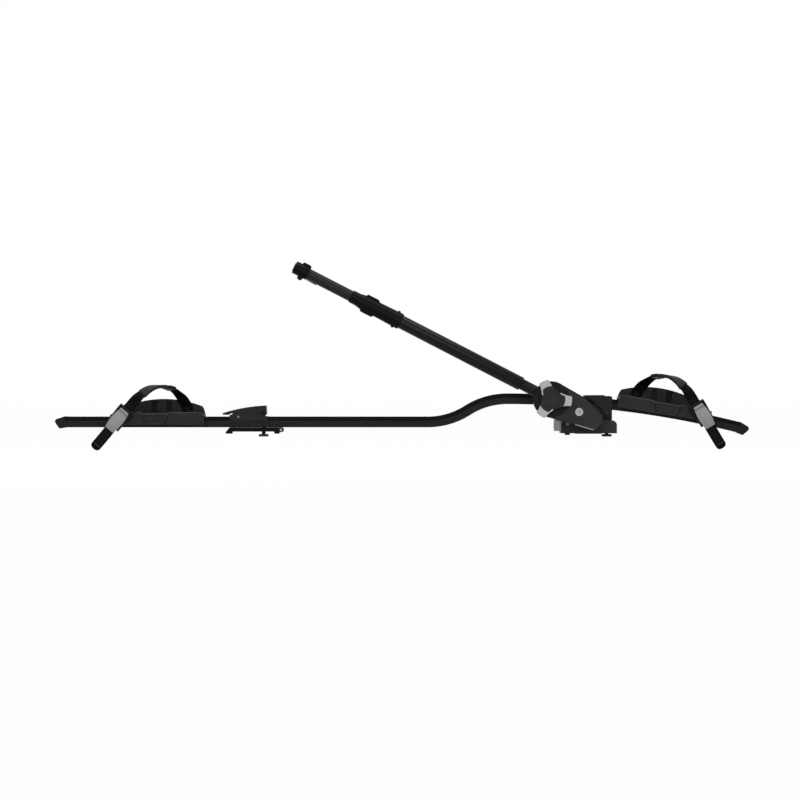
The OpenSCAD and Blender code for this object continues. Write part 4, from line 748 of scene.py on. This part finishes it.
def dress_wall(end, place, body):
    """A painted highlight along a near wall's top and painted shade lines beside its middle panel."""
    dress(wall_line(f"{end}_painted_wall_highlight", place, WALL_HIGHLIGHT, WALL_HIGHLIGHT_W), body, "painted_highlight_grey")
    # Dark bars of painted shade beside the middle panel
    for side, corners in WALL_SHADE_LINES.items():
        line = wall_line(f"{end}_{side}_painted_wall_shade", place, corners, WALL_SHADE_LINE_W)
        dress(line, body, "collar_black")


saddle_rivet = rivet("saddle_rivet", SADDLE_RIVET, SADDLE_RIVET_R, SADDLE_RIVET_RISE)
dress(saddle_rivet, "rear_clamp", "rivet_steel")
for end, way in (("upper", 1), ("lower", -1)):
    lug = arm_place(np.array(COLLAR_LUG_ALONG), np.array(way * COLLAR_LUG_UP), np.array(COLLAR_LUG_Y))
    screw = rivet(f"{end}_collar_screw", lug, COLLAR_SCREW_R, COLLAR_SCREW_RISE)
    dress(screw, "arm", "dark_steel")

rim = housing_shoulder("housing_shoulder", 0, COVER_FACE_Y + RIM_BACK, SHELL_BACK_Y)
dress(rim, "arm", "shell_black")
skin = housing_shoulder("cover_shoulder", RIM_W, COVER_FACE_Y - SKIN_PROUD, COVER_FACE_Y + 2 * RIM_BACK)
dress(skin, "arm", "cover_grey")
# A thin light bar along the cover's lower edge, a painted reflection of the floor
dress(cover_floor_reflection(), "arm", "reflection_grey")

dress_strap("rear", on_rear_tray, "rear_wheel_holder")
dress_strap("front", on_front_tray, "carrier")
dress_wall("rear", on_rear_tray, "rear_wheel_holder")
dress_wall("front", on_front_tray, "carrier")

for label, node in nodes.items():
    slot = SLOT_OF[label]
    node.data.materials.clear()
    node.data.materials.append(FINISHES[OWN_FINISH.get(label, slot)])
    soften(node, EDGE_ROUND.get(label, OTHER_EDGES))


# Studio

FLOOR_GLOW = 0.96
FLOOR_REACH = 60
FLOOR_GAP = 1.5 * MM
ROOM_LIGHT = 0.58


def seen_directly(tree):
    """1 for rays from the camera, from gloss and through glass, and 0 for the rest."""
    path = add(tree, "ShaderNodeLightPath")
    seen = work(tree, "MAXIMUM", path.outputs["Is Camera Ray"], path.outputs["Is Glossy Ray"])
    return work(tree, "MAXIMUM", seen, path.outputs["Is Transmission Ray"])


def pale_floor(height, reach):
    """A round floor, white to the camera and to gloss, that keeps a faint shadow of the object.

    The grid is polar: rings of growing radius, closed at the middle.
    """
    radius = reach * np.linspace(0.001, 1, 24)[:, None] ** 2
    turn = np.linspace(0, 2 * math.pi, 64, endpoint=False)
    flat = np.full((len(radius), len(turn)), height)
    points = np.stack([radius * np.cos(turn), radius * np.sin(turn), flat], -1)
    floor = grid_mesh("pale_floor", points)
    material = bpy.data.materials.new("pale_floor")
    material.use_nodes = True
    tree = material.node_tree
    tree.nodes.clear()
    matt = add(tree, "ShaderNodeBsdfDiffuse", {"Color": (0.86, 0.86, 0.86, 1)})
    glow = add(tree, "ShaderNodeEmission", {"Color": (1, 1, 1, 1), "Strength": 1.0})
    share = work(tree, "MULTIPLY", seen_directly(tree), FLOOR_GLOW)
    both = add(tree, "ShaderNodeMixShader", {0: share, 1: matt.outputs["BSDF"], 2: glow.outputs["Emission"]})
    out = add(tree, "ShaderNodeOutputMaterial")
    tree.links.new(both.outputs["Shader"], out.inputs["Surface"])
    floor.data.materials.append(material)


def white_room(level):
    """A white world: full white where it is seen, and a plain level of light elsewhere."""
    world = bpy.data.worlds.new("white_room")
    world.use_nodes = True
    bpy.context.scene.world = world
    tree = world.node_tree
    tree.nodes.clear()
    strength = add(tree, "ShaderNodeMapRange", {
        "Value": seen_directly(tree), "To Min": level, "To Max": 1.0})
    light = add(tree, "ShaderNodeBackground", {
        "Color": (1, 1, 1, 1), "Strength": strength.outputs["Result"]})
    out = add(tree, "ShaderNodeOutputWorld")
    tree.links.new(light.outputs["Background"], out.inputs["Surface"])


def softbox(name, location, target, size, power):
    """A rectangular area lamp that looks at a point."""
    lamp = bpy.data.lights.new(name, "AREA")
    lamp.shape = "RECTANGLE"
    lamp.size, lamp.size_y = size
    lamp.energy = power
    box = bpy.data.objects.new(name, lamp)
    bpy.context.scene.collection.objects.link(box)
    box.location = location
    aim = np.array(target, float) - np.array(location, float)
    pitch = math.acos(-aim[2] / np.linalg.norm(aim))
    box.rotation_euler = (pitch, 0, math.atan2(aim[1], aim[0]) - math.pi / 2)


pale_floor(cad_box[0][2] - FLOOR_GAP, FLOOR_REACH)
white_room(ROOM_LIGHT)
softbox("overhead", (-0.4, -0.6, 2.6), (-0.4, 0, 0.05), (3.2, 1.4), 60)
softbox("front_fill", (-1.6, -3.0, 1.2), (-0.4, 0, 0.1), (1.6, 1.2), 15)
softbox("front_strip", (-0.05, -2.8, 0.86), (-0.4, -0.075, 0.2), (2.6, 0.3), 19)

# A level side view from 8 m, framed as the photograph is
camera_data = bpy.data.cameras.new("photo_camera")
camera_data.lens = 171.43
camera_data.sensor_width = 36
camera = bpy.data.objects.new("photo_camera", camera_data)
bpy.context.scene.collection.objects.link(camera)
camera.location = (-0.3948, -8.0, 0.0706)
camera.rotation_euler = (math.pi / 2, 0, 0)
bpy.context.scene.camera = camera
bpy.context.scene.view_settings.view_transform = "Standard"
